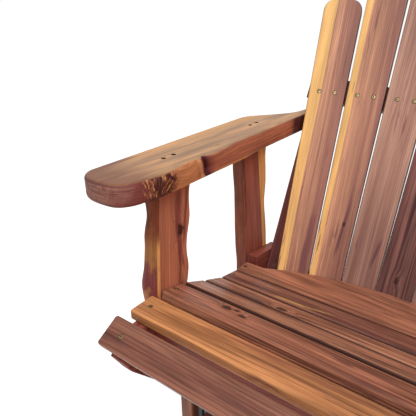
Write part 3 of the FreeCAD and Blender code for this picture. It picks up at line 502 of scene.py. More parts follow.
@patch
def darker_towards(wood, foot, head, share):
    """Heartwood that turns darker towards a foot, between two places along the board."""
    along = wood.swayed(wood.pattern((14, 4, 14), 6, 3), 0.15, wood.place["Y"])
    red = wood.node("ShaderNodeSeparateColor", {"Color": wood.colour}).outputs["Red"]
    worn = wood.times(wood.spread(along, foot, head, share, 0), wood.spread(red, 0.8, 0.62))
    wood.lay(worn, wood.mix(1, wood.colour, DARKENING_TINT, "MULTIPLY"))


@patch
def veins(wood, colour, seed):
    """Short tapering streaks of dark heartwood along a board."""
    flow = wood.pattern((150, 11, 60), seed, 3, 0.6)
    field = wood.pattern((22, 6, 22), seed + 1, 2)
    wood.lay(wood.times(wood.spread(flow, 0.54, 0.68), wood.spread(field, 0.4, 0.58), 0.75), colour)


# near black, painted shade on the sides of boards in the gaps between them
GAP_SHADE = (0.04, 0.014, 0.012)


@patch
def shaded_sides(wood, top, depth):
    """Long sides painted dark from the upper edge down, a painted shade in the gaps between boards."""
    low = wood.spread(wood.place["Z"], top - 0.1 * depth, top - depth)
    wood.lay(wood.times(low, wood.sideways(0.15, 0.5), 0.92), GAP_SHADE)


# a screw that is nearer than these, out of and across a board, is in that board
SCREW_OUT = 0.02
SCREW_ACROSS = 0.06
RIM = 0.0056


@patch
def shaded_rims(wood, screws, share):
    """Dark rims round the screws that hold a board, a painted shade in the holes round their heads."""
    for head, _ in fasteners(screws):
        across, along, out = wood.board.local(head.translation)
        if abs(out) <= SCREW_OUT and abs(across) <= SCREW_ACROSS:
            gap = wood.length(wood.minus(wood.place["X"], across), wood.minus(wood.place["Y"], along))
            wood.lay(wood.times(wood.spread(gap, RIM, 0.75 * RIM), share), KNOT_AND_SHADE_COLOUR)


TOP_TAN = (0.67, 0.355, 0.16)
TOP_GREY = (0.42, 0.228, 0.125)
TOP_WARM = (0.72, 0.365, 0.14)
TOP_FRONT = (0.27, 0.115, 0.062)
TOP_CHECK = (0.15, 0.062, 0.045)
ARM_HALF = 0.019
# heights between which the rounded upper edge of an arm is painted dark as it falls away, a painted shade
EDGE_SHADE_FALL = (ARM_HALF - 0.0012, ARM_HALF - 0.0024)
# places across and along an arm between which its top turns warm and dark
WARM_FADE = (0.02, 0.04)
FRONT_FADE = (-0.205, -0.29)


@patch
def bleached(wood, side, seed):
    """The upper face of an arm, pale, warm along the outer edge and darker in front, with painted shade along
    its rounded edge.
    """
    grain = wood.pattern((330, 6, 60), seed, 4, 0.6)
    drift = wood.pattern((46, 3.4, 20), seed + 3, 4, 0.6)
    outer = wood.swayed(drift, 0.04, wood.times(wood.place["X"], side))
    front = wood.swayed(drift, 0.2, wood.place["Y"])
    checks = wood.pattern((150, 26, 60), seed + 5, 4, 0.66)
    skin = wood.mix(wood.spread(drift, 0.42, 0.6), TOP_TAN, TOP_GREY)
    skin = wood.mix(wood.spread(outer, *WARM_FADE), skin, TOP_WARM)
    skin = wood.mix(wood.spread(front, *FRONT_FADE), skin, TOP_FRONT)
    skin = wood.toned(skin, wood.spread(grain, 0.3, 0.7, 0.72, 1.18))
    skin = wood.mix(wood.spread(checks, 0.58, 0.7, 0, 0.55), skin, TOP_CHECK)
    # painted shade along the rounded upper edge
    skin = wood.mix(wood.spread(wood.place["Z"], *EDGE_SHADE_FALL), skin, KNOT_AND_SHADE_COLOUR)
    up = wood.swayed(grain, 0.4, wood.facing(wood.board.out))
    wood.lay(wood.spread(up, 0.62, 0.9), skin)


def paint(node, material):
    """Gives a kept node its material."""
    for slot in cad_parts[node].material_slots:
        slot.material = material


WELD = 1e-6
FLAT = 0.999
SAME_PLANE = 1e-4


def welded(node):
    """A node's mesh with its doubled corner points joined."""
    mesh = bmesh.new()
    mesh.from_mesh(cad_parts[node].data)
    bmesh.ops.remove_doubles(mesh, verts=mesh.verts, dist=WELD)
    mesh.normal_update()
    return mesh


def chained(pairs):
    """Closed loops of points from pairs that share them, longest loop first."""
    beside = {}
    for first, second in pairs:
        beside.setdefault(first, []).append(second)
        beside.setdefault(second, []).append(first)
    loops = []
    while beside:
        loop = [next(iter(beside))]
        while beside.get(loop[-1]):
            following = beside[loop[-1]].pop()
            beside[following].remove(loop[-1])
            loop.append(following)
        loops.append([vertex.co.copy() for vertex in loop[:-1]])
        beside = {vertex: others for vertex, others in beside.items() if others}
    return sorted(loops, key=way_round, reverse=True)


def way_round(loop):
    """Length of a closed loop."""
    return sum((b - a).length for a, b in zip(loop, loop[1:] + loop[:1]))


def face_loops(node, direction):
    """Loops round a node's furthest flat face along a direction: its outline, then its holes."""
    mesh = welded(node)
    flat = [face for face in mesh.faces if face.normal.dot(direction) > FLAT]
    reach = max(face.calc_center_median().dot(direction) for face in flat)
    flat = {face for face in flat if reach - face.calc_center_median().dot(direction) < SAME_PLANE}
    rim = [edge for edge in mesh.edges if sum(face in flat for face in edge.link_faces) == 1]
    loops = chained([tuple(edge.verts) for edge in rim])
    mesh.free()
    return loops


def evenly(points, step):
    """A closed outline's points at even distances, anticlockwise."""
    closed = np.array(points + points[:1])
    runs = np.linalg.norm(np.diff(closed, axis=0), axis=1)
    marks = np.concatenate(([0], np.cumsum(runs)))
    count = round(marks[-1] / step)
    places = np.arange(count) * marks[-1] / count
    even = np.stack([np.interp(places, marks, closed[:, k]) for k in (0, 1)], axis=1)
    ahead = np.roll(even, -1, axis=0)
    area = np.sum(even[:, 0] * ahead[:, 1] - ahead[:, 0] * even[:, 1])
    return even if area > 0 else even[::-1]


def outward(points):
    """Unit normals of a closed anticlockwise outline."""
    run = np.roll(points, -1, axis=0) - np.roll(points, 1, axis=0)
    normals = np.stack((run[:, 1], -run[:, 0]), axis=1)
    return normals / np.linalg.norm(normals, axis=1)[:, None]


ARC_STEPS = 4
POCKET_SIDES = 24


def edge_profile(levels):
    """Steps from the lower to the upper face: inset and climb in radii, share of the straight side."""
    angles = [math.pi / 2 * step / ARC_STEPS for step in range(ARC_STEPS + 1)]
    lower = [(1 - math.sin(angle), 1 - math.cos(angle), 0) for angle in angles]
    middle = [(0, 1, level / levels) for level in range(1, levels)]
    upper = [(1 - math.cos(angle), 1 + math.sin(angle), 1) for angle in angles]
    return lower + middle + upper


def slab(mesh, loop, low, high, axes, ease, reshape=None, levels=2, pockets=()):
    """Adds a board: an outline from low to high with eased edges. Pockets in its upper face are
    (a, b, radius, depth)."""
    first, second, third = axes
    sizes = [ease(point, normal) for point, normal in zip(loop, outward(loop))]
    rings = []
    for inset, climb, share in edge_profile(levels):
        ring = []
        for point, normal, size in zip(loop, outward(loop), sizes):
            level = low + size * climb + share * (high - low - 2 * size)
            a, b = point - normal * inset * size
            if reshape:
                a, b, level = reshape(a, b, level, normal)
            ring.append(mesh.verts.new(first * a + second * b + third * level))
        rings.append(ring)
    for lower, upper in zip(rings, rings[1:]):
        for k in range(len(loop)):
            mesh.faces.new((lower[k - 1], lower[k], upper[k], upper[k - 1]))
    caps = [[rings[0]], [rings[-1]]]
    for a, b, radius, depth in pockets:
        walls = []
        for level in (high, high - depth):
            wall = []
            for k in range(POCKET_SIDES):
                angle = 2 * math.pi * k / POCKET_SIDES
                spot = (a + radius * math.cos(angle), b + radius * math.sin(angle))
                wall.append(mesh.verts.new(first * spot[0] + second * spot[1] + third * level))
            walls.append(wall)
        for k in range(POCKET_SIDES):
            mesh.faces.new((walls[0][k - 1], walls[0][k], walls[1][k], walls[1][k - 1])).material_index = 1
        caps[1].append(walls[0])
        if high - depth > low:
            mesh.faces.new(walls[1]).material_index = 1
        else:
            caps[0].append(walls[1])
    for loops in caps:
        edges = []
        for ring in loops:
            for k in range(len(ring)):
                ends = (ring[k - 1], ring[k])
                edges.append(mesh.edges.get(ends) or mesh.edges.new(ends))
        bmesh.ops.triangle_fill(mesh, use_beauty=True, edges=edges)


def pockets_of(holes, axes, depth, radius=None):
    """Pockets for the holes of a face, at their own radius unless one is given."""
    found = []
    for hole in holes:
        middle = sum(hole, Vector()) / len(hole)
        size = radius or (hole[0] - middle).length
        found.append((middle.dot(axes[0]), middle.dot(axes[1]), size, depth))
    return found


def turned(mesh, place, rings, sides=36):
    """Adds a turned solid. Rings are (height, radius), where a radius may be a function of the angle."""
    loops = []
    for height, radius in rings:
        loop = []
        for k in range(sides):
            angle = 2 * math.pi * k / sides
            size = radius(angle) if callable(radius) else radius
            spot = Vector((size * math.cos(angle), size * math.sin(angle), height))
            loop.append(mesh.verts.new(place @ spot))
        loops.append(loop)
    for lower, upper in zip(loops, loops[1:]):
        for k in range(sides):
            mesh.faces.new((lower[k - 1], lower[k], upper[k], upper[k - 1]))
    mesh.faces.new(loops[0])
    mesh.faces.new(loops[-1])


def hexagon(size):
    """Radius of a hexagon at an angle, from its corner radius."""
    sixth = math.pi / 3
    return lambda angle: size * math.cos(sixth / 2) / math.cos(angle % sixth - sixth / 2)


def clipped(shape, most):
    """Radius of a shape that is turned down to a largest radius."""
    return lambda angle: min(shape(angle), most)


def lobed(size, depth):
    """Radius of a six-lobed recess at an angle."""
    return lambda angle: size * (1 + depth * math.cos(6 * angle))


def solids(node):
    """Points of each separate solid in a node."""
    mesh = welded(node)
    left = set(mesh.verts)
    found = []
    while left:
        queue = [left.pop()]
        island = []
        while queue:
            vertex = queue.pop()
            island.append(vertex.co.copy())
            for edge in vertex.link_edges:
                other = edge.other_vert(vertex)
                if other in left:
                    left.remove(other)
                    queue.append(other)
        found.append(np.array(island))
    mesh.free()
    return found


def fasteners(node):
    """(place with its Z axis from the head into the work, length) of each screw or bolt in a node."""
    found = []
    for points in solids(node):
        centre = points.mean(axis=0)
        axis = np.linalg.eigh((points - centre).T @ (points - centre))[1][:, 2]
        heights = (points - centre) @ axis
        radii = np.linalg.norm(points - centre - np.outer(heights, axis), axis=1)
        middle = (heights.min() + heights.max()) / 2
        if radii[heights > middle].max() > radii[heights < middle].max():
            axis, heights = -axis, -heights
        head = Vector(centre + axis * heights.min())
        turn = Vector(axis).to_track_quat("Z", "Y").to_matrix().to_4x4()
        found.append((Matrix.Translation(head) @ turn, heights.max() - heights.min()))
    return found


SHARP = math.radians(40)


def piece(name, mesh, material, body, slot, *nodes):
    """Turns a built mesh into a piece that rides on a body and stands for nodes."""
    bmesh.ops.recalc_face_normals(mesh, faces=mesh.faces)
    data = bpy.data.meshes.new(name)
    mesh.to_mesh(data)
    mesh.free()
    data.polygons.foreach_set("use_smooth", [True] * len(data.polygons))
    data.set_sharp_from_angle(angle=SHARP)
    data.materials.append(material)
    thing = bpy.data.objects.new(name, data)
    bpy.context.scene.collection.objects.link(thing)
    even = thing.modifiers.new("even_normals", "WEIGHTED_NORMAL")
    even.keep_sharp = True
    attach(thing, body)
    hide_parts(*nodes)
    return thing


# stage: white floor and surroundings, one broad soft lamp above
FLOOR_HALF = 40
WHITE = (1, 1, 1)
FLOOR_COLOUR = (0.9, 0.9, 0.9)
SKY_COLOUR = (0.97, 0.985, 1)
FLOOR_LIFT = 0.72
AMBIENT = 0.36
LAMP_PLACE = Vector((0.75, -0.95, 2.6))
LAMP_AIM = Vector((0, 0, 0.45))
LAMP_SIZE = 1.8
LAMP_POWER = 46


def plainly_seen(graph):
    """1 for rays from the camera, a mirror or glass, and 0 for rays that light the object."""
    path = graph.node("ShaderNodeLightPath").outputs
    mirrored = graph.larger(path["Is Glossy Ray"], path["Is Transmission Ray"])
    return graph.larger(path["Is Camera Ray"], mirrored)


def build_floor():
    mesh = bpy.data.meshes.new("floor")
    corners = [(x * FLOOR_HALF, y * FLOOR_HALF, 0) for x, y in ((-1, -1), (1, -1), (1, 1), (-1, 1))]
    mesh.from_pydata(corners, [], [(0, 1, 2, 3)])
    floor = bpy.data.objects.new("floor", mesh)
    bpy.context.scene.collection.objects.link(floor)
    material, graph, shader = new_material("floor_white")
    graph.fill(shader, {"Base Color": FLOOR_COLOUR, "Roughness": 0.9, "Specular IOR Level": 0})
    lift = graph.times(plainly_seen(graph), FLOOR_LIFT)
    glow = graph.node("ShaderNodeEmission", {"Color": WHITE, "Strength": lift})
    both = graph.node("ShaderNodeAddShader", {0: shader.outputs[0], 1: glow.outputs[0]})
    graph.plug(both.outputs[0], material.node_tree.nodes["Material Output"].inputs["Surface"])
    mesh.materials.append(material)


def build_lights():
    world = bpy.data.worlds.new("studio")
    world.use_nodes = True
    bpy.context.scene.world = world
    graph = Graph(world.node_tree)
    world.node_tree.nodes.clear()
    light = graph.node("ShaderNodeBackground", {"Color": SKY_COLOUR, "Strength": AMBIENT}).outputs[0]
    white = graph.node("ShaderNodeBackground", {"Color": WHITE, "Strength": 1}).outputs[0]
    chosen = graph.node("ShaderNodeMixShader", {0: plainly_seen(graph), 1: light, 2: white})
    graph.node("ShaderNodeOutputWorld", {"Surface": chosen.outputs[0]})
    data = bpy.data.lights.new("key", "AREA")
    data.shape = "SQUARE"
    data.size = LAMP_SIZE
    data.energy = LAMP_POWER
    lamp = bpy.data.objects.new("key", data)
    lamp.location = LAMP_PLACE
    lamp.rotation_euler = (LAMP_AIM - LAMP_PLACE).to_track_quat("-Z", "Y").to_euler()
    bpy.context.scene.collection.objects.link(lamp)


def build_camera():
    data = bpy.data.cameras.new("camera")
    data.sensor_width = SENSOR
    data.lens = FOCAL_PIXELS / PICTURE_WIDTH * SENSOR
    data.clip_start = CLIP_START
    camera = bpy.data.objects.new("camera", data)
    level = math.cos(CAMERA_PITCH)
    ahead = Vector((-math.sin(CAMERA_TURN) * level, math.cos(CAMERA_TURN) * level, -math.sin(CAMERA_PITCH)))
    flat = Vector((math.cos(CAMERA_TURN), math.sin(CAMERA_TURN), 0))
    right = flat * math.cos(CAMERA_ROLL) + flat.cross(ahead) * math.sin(CAMERA_ROLL)
    axes = Matrix((right, right.cross(ahead), -ahead)).transposed()
    camera.matrix_world = Matrix.Translation(CAMERA_PLACE) @ axes.to_4x4()
    bpy.context.scene.collection.objects.link(camera)
    bpy.context.scene.camera = camera


# metals, plastic and rubber
METAL = 1


def speckled(name, first, second, scale, rough, metallic=0, bump=0, stretch=(1, 1, 1)):
    """A finish whose colour and roughness drift between two values over small patches."""
    material, graph, shader = new_material(name)
    here = graph.node("ShaderNodeTexCoord").outputs["Object"]
    spot = graph.vector("MULTIPLY", here, tuple(scale * share for share in stretch))
    patches = graph.noise_at(spot, 1, 4, 0.6)
    fine = graph.noise_at(graph.scaled(spot, 9), 2, 2)
    graph.fill(shader, {
        "Base Color": graph.mix(graph.spread(patches, 0.35, 0.65), first, second),
        "Roughness": graph.spread(graph.raised(fine, 0.5, patches), 0.5, 1, *rough),
        "Metallic": metallic,
    })
    if bump:
        raised = graph.node("ShaderNodeBump", {"Height": fine, "Strength": bump, "Distance": 0.0003})
        graph.plug(raised.outputs["Normal"], shader.inputs["Normal"])
    return material


DECK_SCREW = speckled("deck_screw_finish", (0.4, 0.31, 0.16), (0.16, 0.12, 0.065), 420, (0.3, 0.52), METAL)
DARK_SCREW = speckled("dark_screw_finish", (0.03, 0.022, 0.016), (0.075, 0.052, 0.036), 420, (0.4, 0.6),
                      METAL)
ZINC = speckled("zinc_finish", (0.6, 0.61, 0.62), (0.47, 0.46, 0.42), 260, (0.26, 0.46), METAL)
BRUSHED = (1, 0.1, 0.1)
BRIGHT = speckled("bright_finish", (0.66, 0.66, 0.66), (0.56, 0.56, 0.57), 900, (0.16, 0.34), METAL,
                  stretch=BRUSHED)
BLACK = speckled("black_finish", (0.02, 0.02, 0.021), (0.032, 0.031, 0.03), 180, (0.36, 0.55), bump=0.25)
NYLON = speckled("nylon_finish", (0.74, 0.72, 0.64), (0.66, 0.63, 0.55), 150, (0.38, 0.5), bump=0.08)
RUBBER = speckled("rubber_finish", (0.022, 0.022, 0.022), (0.06, 0.058, 0.055), 240, (0.7, 0.9), bump=0.3)

# near black for the walls and floors of the arms' screw holes, a painted shade in the recesses
BORE_SHADE = speckled("bore_shade", (0.03, 0.012, 0.01), (0.06, 0.024, 0.018), 300, (0.7, 0.9))

# seat slats and back slats: (tone, seed, other wood settings)
SLAT_HALF = 0.01
BACK_SLAT_HALF = 0.008
SAP_STREAK = (0.62, 0.34, 0.12)
# painted shade down the seat slats' long sides in the gaps between them
SEAT_GAP_SHADE = shaded_sides(SLAT_HALF, 0.0026)
# painted shade in the rims round the seat slats' screws
SCREW_RIM_SHADE = shaded_rims("seat_slat_screws", 0.5)
SEAT_WOOD = {
    "front_apron_slat": ("plum", 1, {"pith": (0.05, -0.06), "figure": 1.3}),
    "seat_slat_1": ("honey", 2, {"pith": (-0.02, -0.07), "figure": 1.3}),
    "seat_slat_2": ("russet", 3, {
        "pith": (0.03, -0.05), "figure": 1.5,
        "knots": ((-0.008, -0.19, 0.008), (-0.002, -0.155, 0.007), (-0.012, -0.172, 0.006))}),
    "seat_slat_3": ("umber", 4, {"pith": (-0.04, -0.06), "figure": 1.6}),
    "seat_slat_4": ("umber", 5, {"pith": (0.03, -0.08), "figure": 1.6, "knots": ((0.018, -0.136, 0.009),)}),
    "seat_slat_5": ("plum", 6, {"pith": (-0.05, -0.05), "figure": 1.5}),
    "rear_seat_slat": ("russet", 7, {"pith": (0.02, -0.09), "figure": 1.2}),
}
SEAT_MARKS = {
    "seat_slat_3": (SEAT_GAP_SHADE,),
    "seat_slat_4": (SEAT_GAP_SHADE,),
    "seat_slat_5": (
        stripe((-0.18, 0.008, 0.36), (-0.11, 0.011, 0.36), 0.007, SAP_STREAK, 6),
        stripe((-0.11, 0.012, 0.36), (-0.07, 0.02, 0.36), 0.004, SAP_STREAK, 8),
        stripe((-0.212, 0.037, 0.36), (-0.206, 0.037, 0.36), 0.006, SAP_STREAK, 9),
        SEAT_GAP_SHADE,
    ),
    "rear_seat_slat": (SEAT_GAP_SHADE,),
}
# back slats: painted shade towards their feet by the seat, darker towards their tops, painted shade down
# their sides in the gaps and in the rims round their screws
BACK_SHADE_AND_DARKENING = (darker_towards(-0.3, -0.06, 0.36), darker_towards(0.24, 0.02, 0.26), shaded_sides(BACK_SLAT_HALF, 0.0012),
             shaded_rims("back_slat_screws", 0.9))
BACK_VEIN = (0.22, 0.085, 0.085)
SEAT_VEIN = (0.15, 0.05, 0.04)
BACK_WOOD = {
    "back_slat_1": ("salmon", 11, {
        "pith": (0.12, -0.03), "sap": 0.137, "core": 0.114, "gain": 38, "figure": 0.6}),
    "back_slat_2": ("salmon", 12, {
        "pith": (0.11, -0.03), "sap": 0.1355, "core": 0.102, "gain": 24, "figure": 0.6,
        "knots": ((0.017, -0.184, 0.0045),)}),
    "back_slat_3": ("rose", 13, {"pith": (0.09, -0.04), "figure": 0.6}),
    "back_slat_4": ("wine", 14, {"pith": (-0.06, -0.05), "knots": ((0, -0.295, 0.006),)}),
    "back_slat_5": ("rose", 15, {"pith": (-0.09, -0.04), "figure": 0.6}),
    "back_slat_6": ("salmon", 16, {"pith": (-0.11, -0.03), "sap": 0.136, "figure": 0.5}),
    "back_slat_7": ("russet", 17, {"pith": (0.06, -0.04)}),
}
BACK_MARKS = {
    "back_slat_1": (stripe((0.018, -0.29), (0.028, -0.15), 0.014, (0.28, 0.105, 0.095), 3),),
    "back_slat_2": (stripe((0.012, -0.25), (0.02, -0.14), 0.006, BACK_VEIN, 5),),
    "back_slat_3": (stripe((0.02, -0.27), (0.026, -0.21), 0.006, BACK_VEIN, 7),),
}


def build_slats():
    for node, (tone, seed, wood) in SEAT_WOOD.items():
        marks = (veins(SEAT_VEIN, seed + 0.5), *SEAT_MARKS.get(node, ()), SCREW_RIM_SHADE)
        paint(node, cedar("wood_" + node, Board(node, Z_AXIS), tone, seed, patches=marks, **wood))
    for node, (tone, seed, wood) in BACK_WOOD.items():
        marks = (veins(BACK_VEIN, seed), *BACK_MARKS.get(node, ()), *BACK_SHADE_AND_DARKENING)
        paint(node, cedar("wood_" + node, Board(node, -Y_AXIS), tone, seed, patches=marks, **wood))


def bell(gap, reach):
    return math.exp(-(gap / reach) ** 2)


def eased_step(value, low, high):
    share = min(max((value - low) / (high - low), 0), 1)
    return share * share * (3 - 2 * share)


# arms, with how far the waney inner edge stands out at its waves, ripples, burl and eye
ARM_STEP = 0.002
ARM_EASE = 0.0065
ARM_HOLE = 0.0044
ARM_HOLE_DEPTH = 0.005
ARM_LEVELS = 12
WANEY_START = (-0.225, -0.165)
WANEY_END = (0.11, 0.05)
WAVE = 0.001
RIPPLE = 0.0005
BURL_RISE = 0.0016
KNURL_RISE = 0.002
EYE_RISE = 0.0026
CLEFT_DEPTH = 0.0068
# a hollow behind the cleft
HOLLOW_DEPTH = 0.003
HOLLOW_BEHIND = 0.012
HOLLOW_REACH = 0.016
ARRIS_REACH = 0.004
ARRIS_COLOUR = (0.6, 0.25, 0.09)
# painted shade on the rear end of an arm's inner side by the back upright: where it begins and ends along the
# arm, and its colour
TAIL_SHADE_SPAN = (0.172, 0.196)
TAIL_SHADE = (0.07, 0.012, 0.014)
BURL_DUSK = (0.01, -0.02)
BURL_SHADE = (0.19, 0.04, 0.038)


def left_swell(b, level):
    """How far the left arm's waney edge stands out at its burl, eye and cleft."""
    away = math.hypot(b - BURL_AT[0], 0.7 * (level - BURL_AT[1]))
    knurl = noise.noise(Vector((b * 120 + level * 150, level * 60 - b * 50, 3)))
    swell = bell(away, BURL_REACH) * (BURL_RISE + KNURL_RISE * knurl)
    swell += EYE_RISE * bell(math.hypot(b - EYE_AT[0], level - EYE_AT[1]), EYE_REACH)
    fall = (level - CLEFT_FOOT[1]) / (CLEFT_TOP[1] - CLEFT_FOOT[1])
    gap = b - CLEFT_FOOT[0] - fall * (CLEFT_TOP[0] - CLEFT_FOOT[0])
    swell -= CLEFT_DEPTH * bell(gap, CLEFT_WIDTH * (0.8 if gap < 0 else 1.9))
    return swell - HOLLOW_DEPTH * bell(gap - HOLLOW_BEHIND, HOLLOW_REACH)


def arm_shape(side, low, high):
    """Reshapes the inner edge of an arm: planed straight below, waney above, with a burl and a cleft."""
    inner = side * abs(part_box("left_seat_rail")[1].x)

    def reshape(a, b, level, normal):
        rise = (level - low) / (high - low)
        facing = eased_step(-side * normal[0], 0.3, 0.8)
        mask = facing * eased_step(b, *WANEY_END) * eased_step(b, *WANEY_START)
        a += (inner - a) * (1 - eased_step(rise, 0.15, 0.85)) * mask
        swell = WAVE * noise.noise(Vector((b * 16, level * 10, side)))
        swell += RIPPLE * noise.noise(Vector((b * 60, level * 40, side)))
        if side < 0:
            swell += left_swell(b, level)
        return a - side * swell * eased_step(rise, 0.04, 0.4) * mask, b, level
    return reshape


def left_patches(board, low):
    """The left arm's eye, burl and cleft, and the dark wood in front of the burl."""
    spots = [board.local((low.x, *place)) for place in (EYE_AT, BURL_AT, CLEFT_TOP, CLEFT_FOOT)]
    branch, knurl, top, foot = ((spot.y, spot.z) for spot in spots)
    start, end = (knurl[0] + reach for reach in BURL_DUSK)
    return [dusky_end(start, end, BURL_SHADE), eye(branch, EYE_REACH, 9), burl(knurl, 1.2 * BURL_REACH, 4),
            cleft(top, foot, CLEFT_WIDTH)]


def build_arms():
    axes = (X_AXIS, Y_AXIS, Z_AXIS)
    for word, side in SIDES:
        node = word + "_arm"
        low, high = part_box(node)
        outline, *holes = face_loops(node, Z_AXIS)
        mesh = bmesh.new()
        loop = evenly([tuple(point.xy) for point in outline], ARM_STEP)
        slab(mesh, loop, low.z, high.z, axes, lambda point, normal: ARM_EASE, arm_shape(side, low.z, high.z),
             ARM_LEVELS, pockets_of(holes, axes, ARM_HOLE_DEPTH, ARM_HOLE))
        board = Board(node, Z_AXIS)
        patches = [lower_arris(-ARM_HALF, ARRIS_REACH, ARRIS_COLOUR, 3), dusky_end(*TAIL_SHADE_SPAN, TAIL_SHADE)]
        if side < 0:
            patches += left_patches(board, low)
        patches += [grey_front(21 + side), bleached(side, 14 + side)]
        wood = cedar("wood_" + node, board, "brick", 31 + side, pith=(-side * 0.03, -0.09), patches=patches)
        made = piece(word + "_arm_board", mesh, wood, "seat", "cedar_arm", node)
        made.data.materials.append(BORE_SHADE)


# posts
POST_STEP = 0.003
POST_EASE = 0.006
POST_END_EASE = 0.0008
POST_LEVELS = 8
# colours along the posts' waney edges, each at its place
FRONT_SKIN = (
    (0.42, (0.5, 0.19, 0.062)), (0.46, (0.22, 0.03, 0.024)), (0.53, (0.23, 0.038, 0.034)),
    (0.58, (0.25, 0.052, 0.04)), (0.64, (0.46, 0.18, 0.05)), (0.71, (0.38, 0.135, 0.04)),
    (0.79, (0.23, 0.044, 0.01)), (0.96, (0.21, 0.04, 0.009)),
)
REAR_SKIN = (
    (0.4, (0.3, 0.078, 0.044)), (0.55, (0.33, 0.1, 0.046)), (0.7, (0.25, 0.064, 0.036)),
    (0.92, (0.28, 0.086, 0.046)),
)
# bulges of the front posts' outer side: (height, how far it stands out, reach)
POST_BULGES = (
    (0.5, 0.0035, 0.25), (0.425, 0.0085, 0.03), (0.562, -0.0055, 0.022), (0.52, 0.001, 0.012),
)


def post_ease(point, normal):
    """Post edges are soft along their length and crisp at the ends."""
    if abs(normal[1]) > 0.7:
        return POST_END_EASE
    return POST_EASE * (1 + 0.45 * noise.noise(Vector((point[0] * 9, point[1] * 22, 0))))


def post_shape(low, high, side, bulges, seed):
    """Reshapes a post: its outer side bulges and its long edges wander."""
    def reshape(a, b, level, normal):
        share = (level - low) / (high - low)
        outer = share if side > 0 else 1 - share
        swell = sum(rise * bell(b - height, reach) for height, rise, reach in bulges)
        level += side * outer * outer * swell
        if abs(normal[1]) > 0.5:
            return a, b, level
        swell = 0.0012 * noise.noise(Vector((b * 18, share * 1.6, seed)))
        swell += 0.0007 * noise.noise(Vector((b * 26, share * 9, seed + 5)))
        swell *= eased_step(min(share, 1 - share), 0, 0.25) * math.copysign(1, normal[0])
        return a + swell, b, level
    return reshape


POST_FACE = 0.307


def post_stripe(start, end, *settings):
    """A stripe on the left posts' show face between two points (y, z)."""
    return stripe((-POST_FACE, *start), (-POST_FACE, *end), *settings)


POST_WOOD = {
    "left_front_post": ("terracotta", 41, {
        "figure": 0.6, "pith": (0.055, -0.09), "knots": ((0.008, 0.094, 0.011),),
        "patches": (
            post_stripe((-0.119, 0.4), (-0.119, 0.6), 0.014, (0.25, 0.058, 0.055), 3),
            post_stripe((-0.108, 0.5), (-0.094, 0.6), 0.006, (0.26, 0.06, 0.055), 5),
            post_stripe((-0.114, 0.4), (-0.116, 0.46), 0.005, (0.72, 0.32, 0.11), 8),
            waney(FRONT_SKIN, 2, 0.05),
            post_stripe((-0.181, 0.4), (-0.173, 0.52), 0.008, (0.86, 0.37, 0.12), 6),
            post_stripe((-0.179, 0.52), (-0.174, 0.6), 0.012, (0.22, 0.052, 0.018), 7),
        )}),
    "left_rear_post": ("mahogany", 42, {
        "pith": (-0.05, -0.03), "lean": (-0.075, 0), "sap": 0.083, "sapwood": (0.95, 0.46, 0.13),
        "patches": (waney(REAR_SKIN, 5),)}),
    "right_front_post": ("terracotta", 43, {
        "pith": (0.06, -0.03), "sap": 0.097, "patches": (waney(FRONT_SKIN, 7, 0.05),)}),
    "right_rear_post": ("mahogany", 44, {
        "pith": (-0.05, -0.04), "sap": 0.085, "patches": (waney(REAR_SKIN, 9),)}),
}


def build_posts():
    for word, side in SIDES:
        for end in ("front", "rear"):
            node = "%s_%s_post" % (word, end)
            low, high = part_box(node)
            outline = face_loops(node, -side * X_AXIS)[0]
            tone, seed, wood = POST_WOOD[node]
            mesh = bmesh.new()
            loop = evenly([tuple(point.yz) for point in outline], POST_STEP)
            bulges = POST_BULGES if end == "front" else ()
            slab(mesh, loop, low.x, high.x, SIDE_AXES, post_ease,
                 post_shape(low.x, high.x, side, bulges, seed), POST_LEVELS)
            material = cedar("wood_" + node, Board(node, -side * X_AXIS), tone, seed, **wood)
            piece(node + "_board", mesh, material, "seat", "cedar_post", node)


# flat boards and plates cut from an outline
RAIL_EASE = 0.0025
PLATE_EASE = 0.0012
OUTLINE_STEP = 0.003


def flat_piece(name, node, direction, axes, ease, material, body, slot):
    """A board or plate copied from a node's outline along one axis, with its holes and eased edges."""
    mesh = bmesh.new()
    first, second, third = axes
    low, high = (corner.dot(third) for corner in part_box(node))
    outline, *holes = face_loops(node, direction)
    loop = evenly([(point.dot(first), point.dot(second)) for point in outline], OUTLINE_STEP)
    slab(mesh, loop, low, high, axes, lambda point, normal: ease, pockets=pockets_of(holes, axes, high - low))
    return piece(name, mesh, material, body, slot, node)


def build_rails():
    for word, side in SIDES:
        node = word + "_seat_rail"
        wood = cedar("wood_" + node, Board(node, side * X_AXIS), "shaded_red", 51 + side, pith=(0.05, -0.05))
        flat_piece(node + "_board", node, side * X_AXIS, SIDE_AXES, RAIL_EASE, wood, "seat", "cedar_frame")
    wood = cedar("wood_front_stretcher", Board("front_stretcher", -Y_AXIS), "shaded_red", 54, pith=(0.04, -0.07))
    flat_piece("front_stretcher_board", "front_stretcher", -Y_AXIS, (Z_AXIS, X_AXIS, Y_AXIS), RAIL_EASE, wood,
               "seat", "cedar_frame")


FRAME_BOARDS = (
    "upper_back_rail", "lower_back_rail", "left_back_upright", "right_back_upright", "left_front_hanger",
    "right_front_hanger", "front_cross_rail", "rear_cross_rail", "left_glider_beam", "right_glider_beam",
    "base_plank_lower", "base_plank_upper",
)
# the back rails take the shadow tone, a painted shade behind the slats
FRAME_TONES = {
    "upper_back_rail": "shadow", "lower_back_rail": "shadow",
    "left_back_upright": "dusk", "right_back_upright": "dusk",
}
LOWER_TONES = ("brick", "russet", "plum")


def build_frame_boards():
    for seed, node in enumerate(FRAME_BOARDS):
        tone = FRAME_TONES.get(node, LOWER_TONES[seed % len(LOWER_TONES)])
        paint(node, cedar("wood_" + node, Board(node, Z_AXIS), tone, 60 + seed, pith=(0.03, -0.06)))


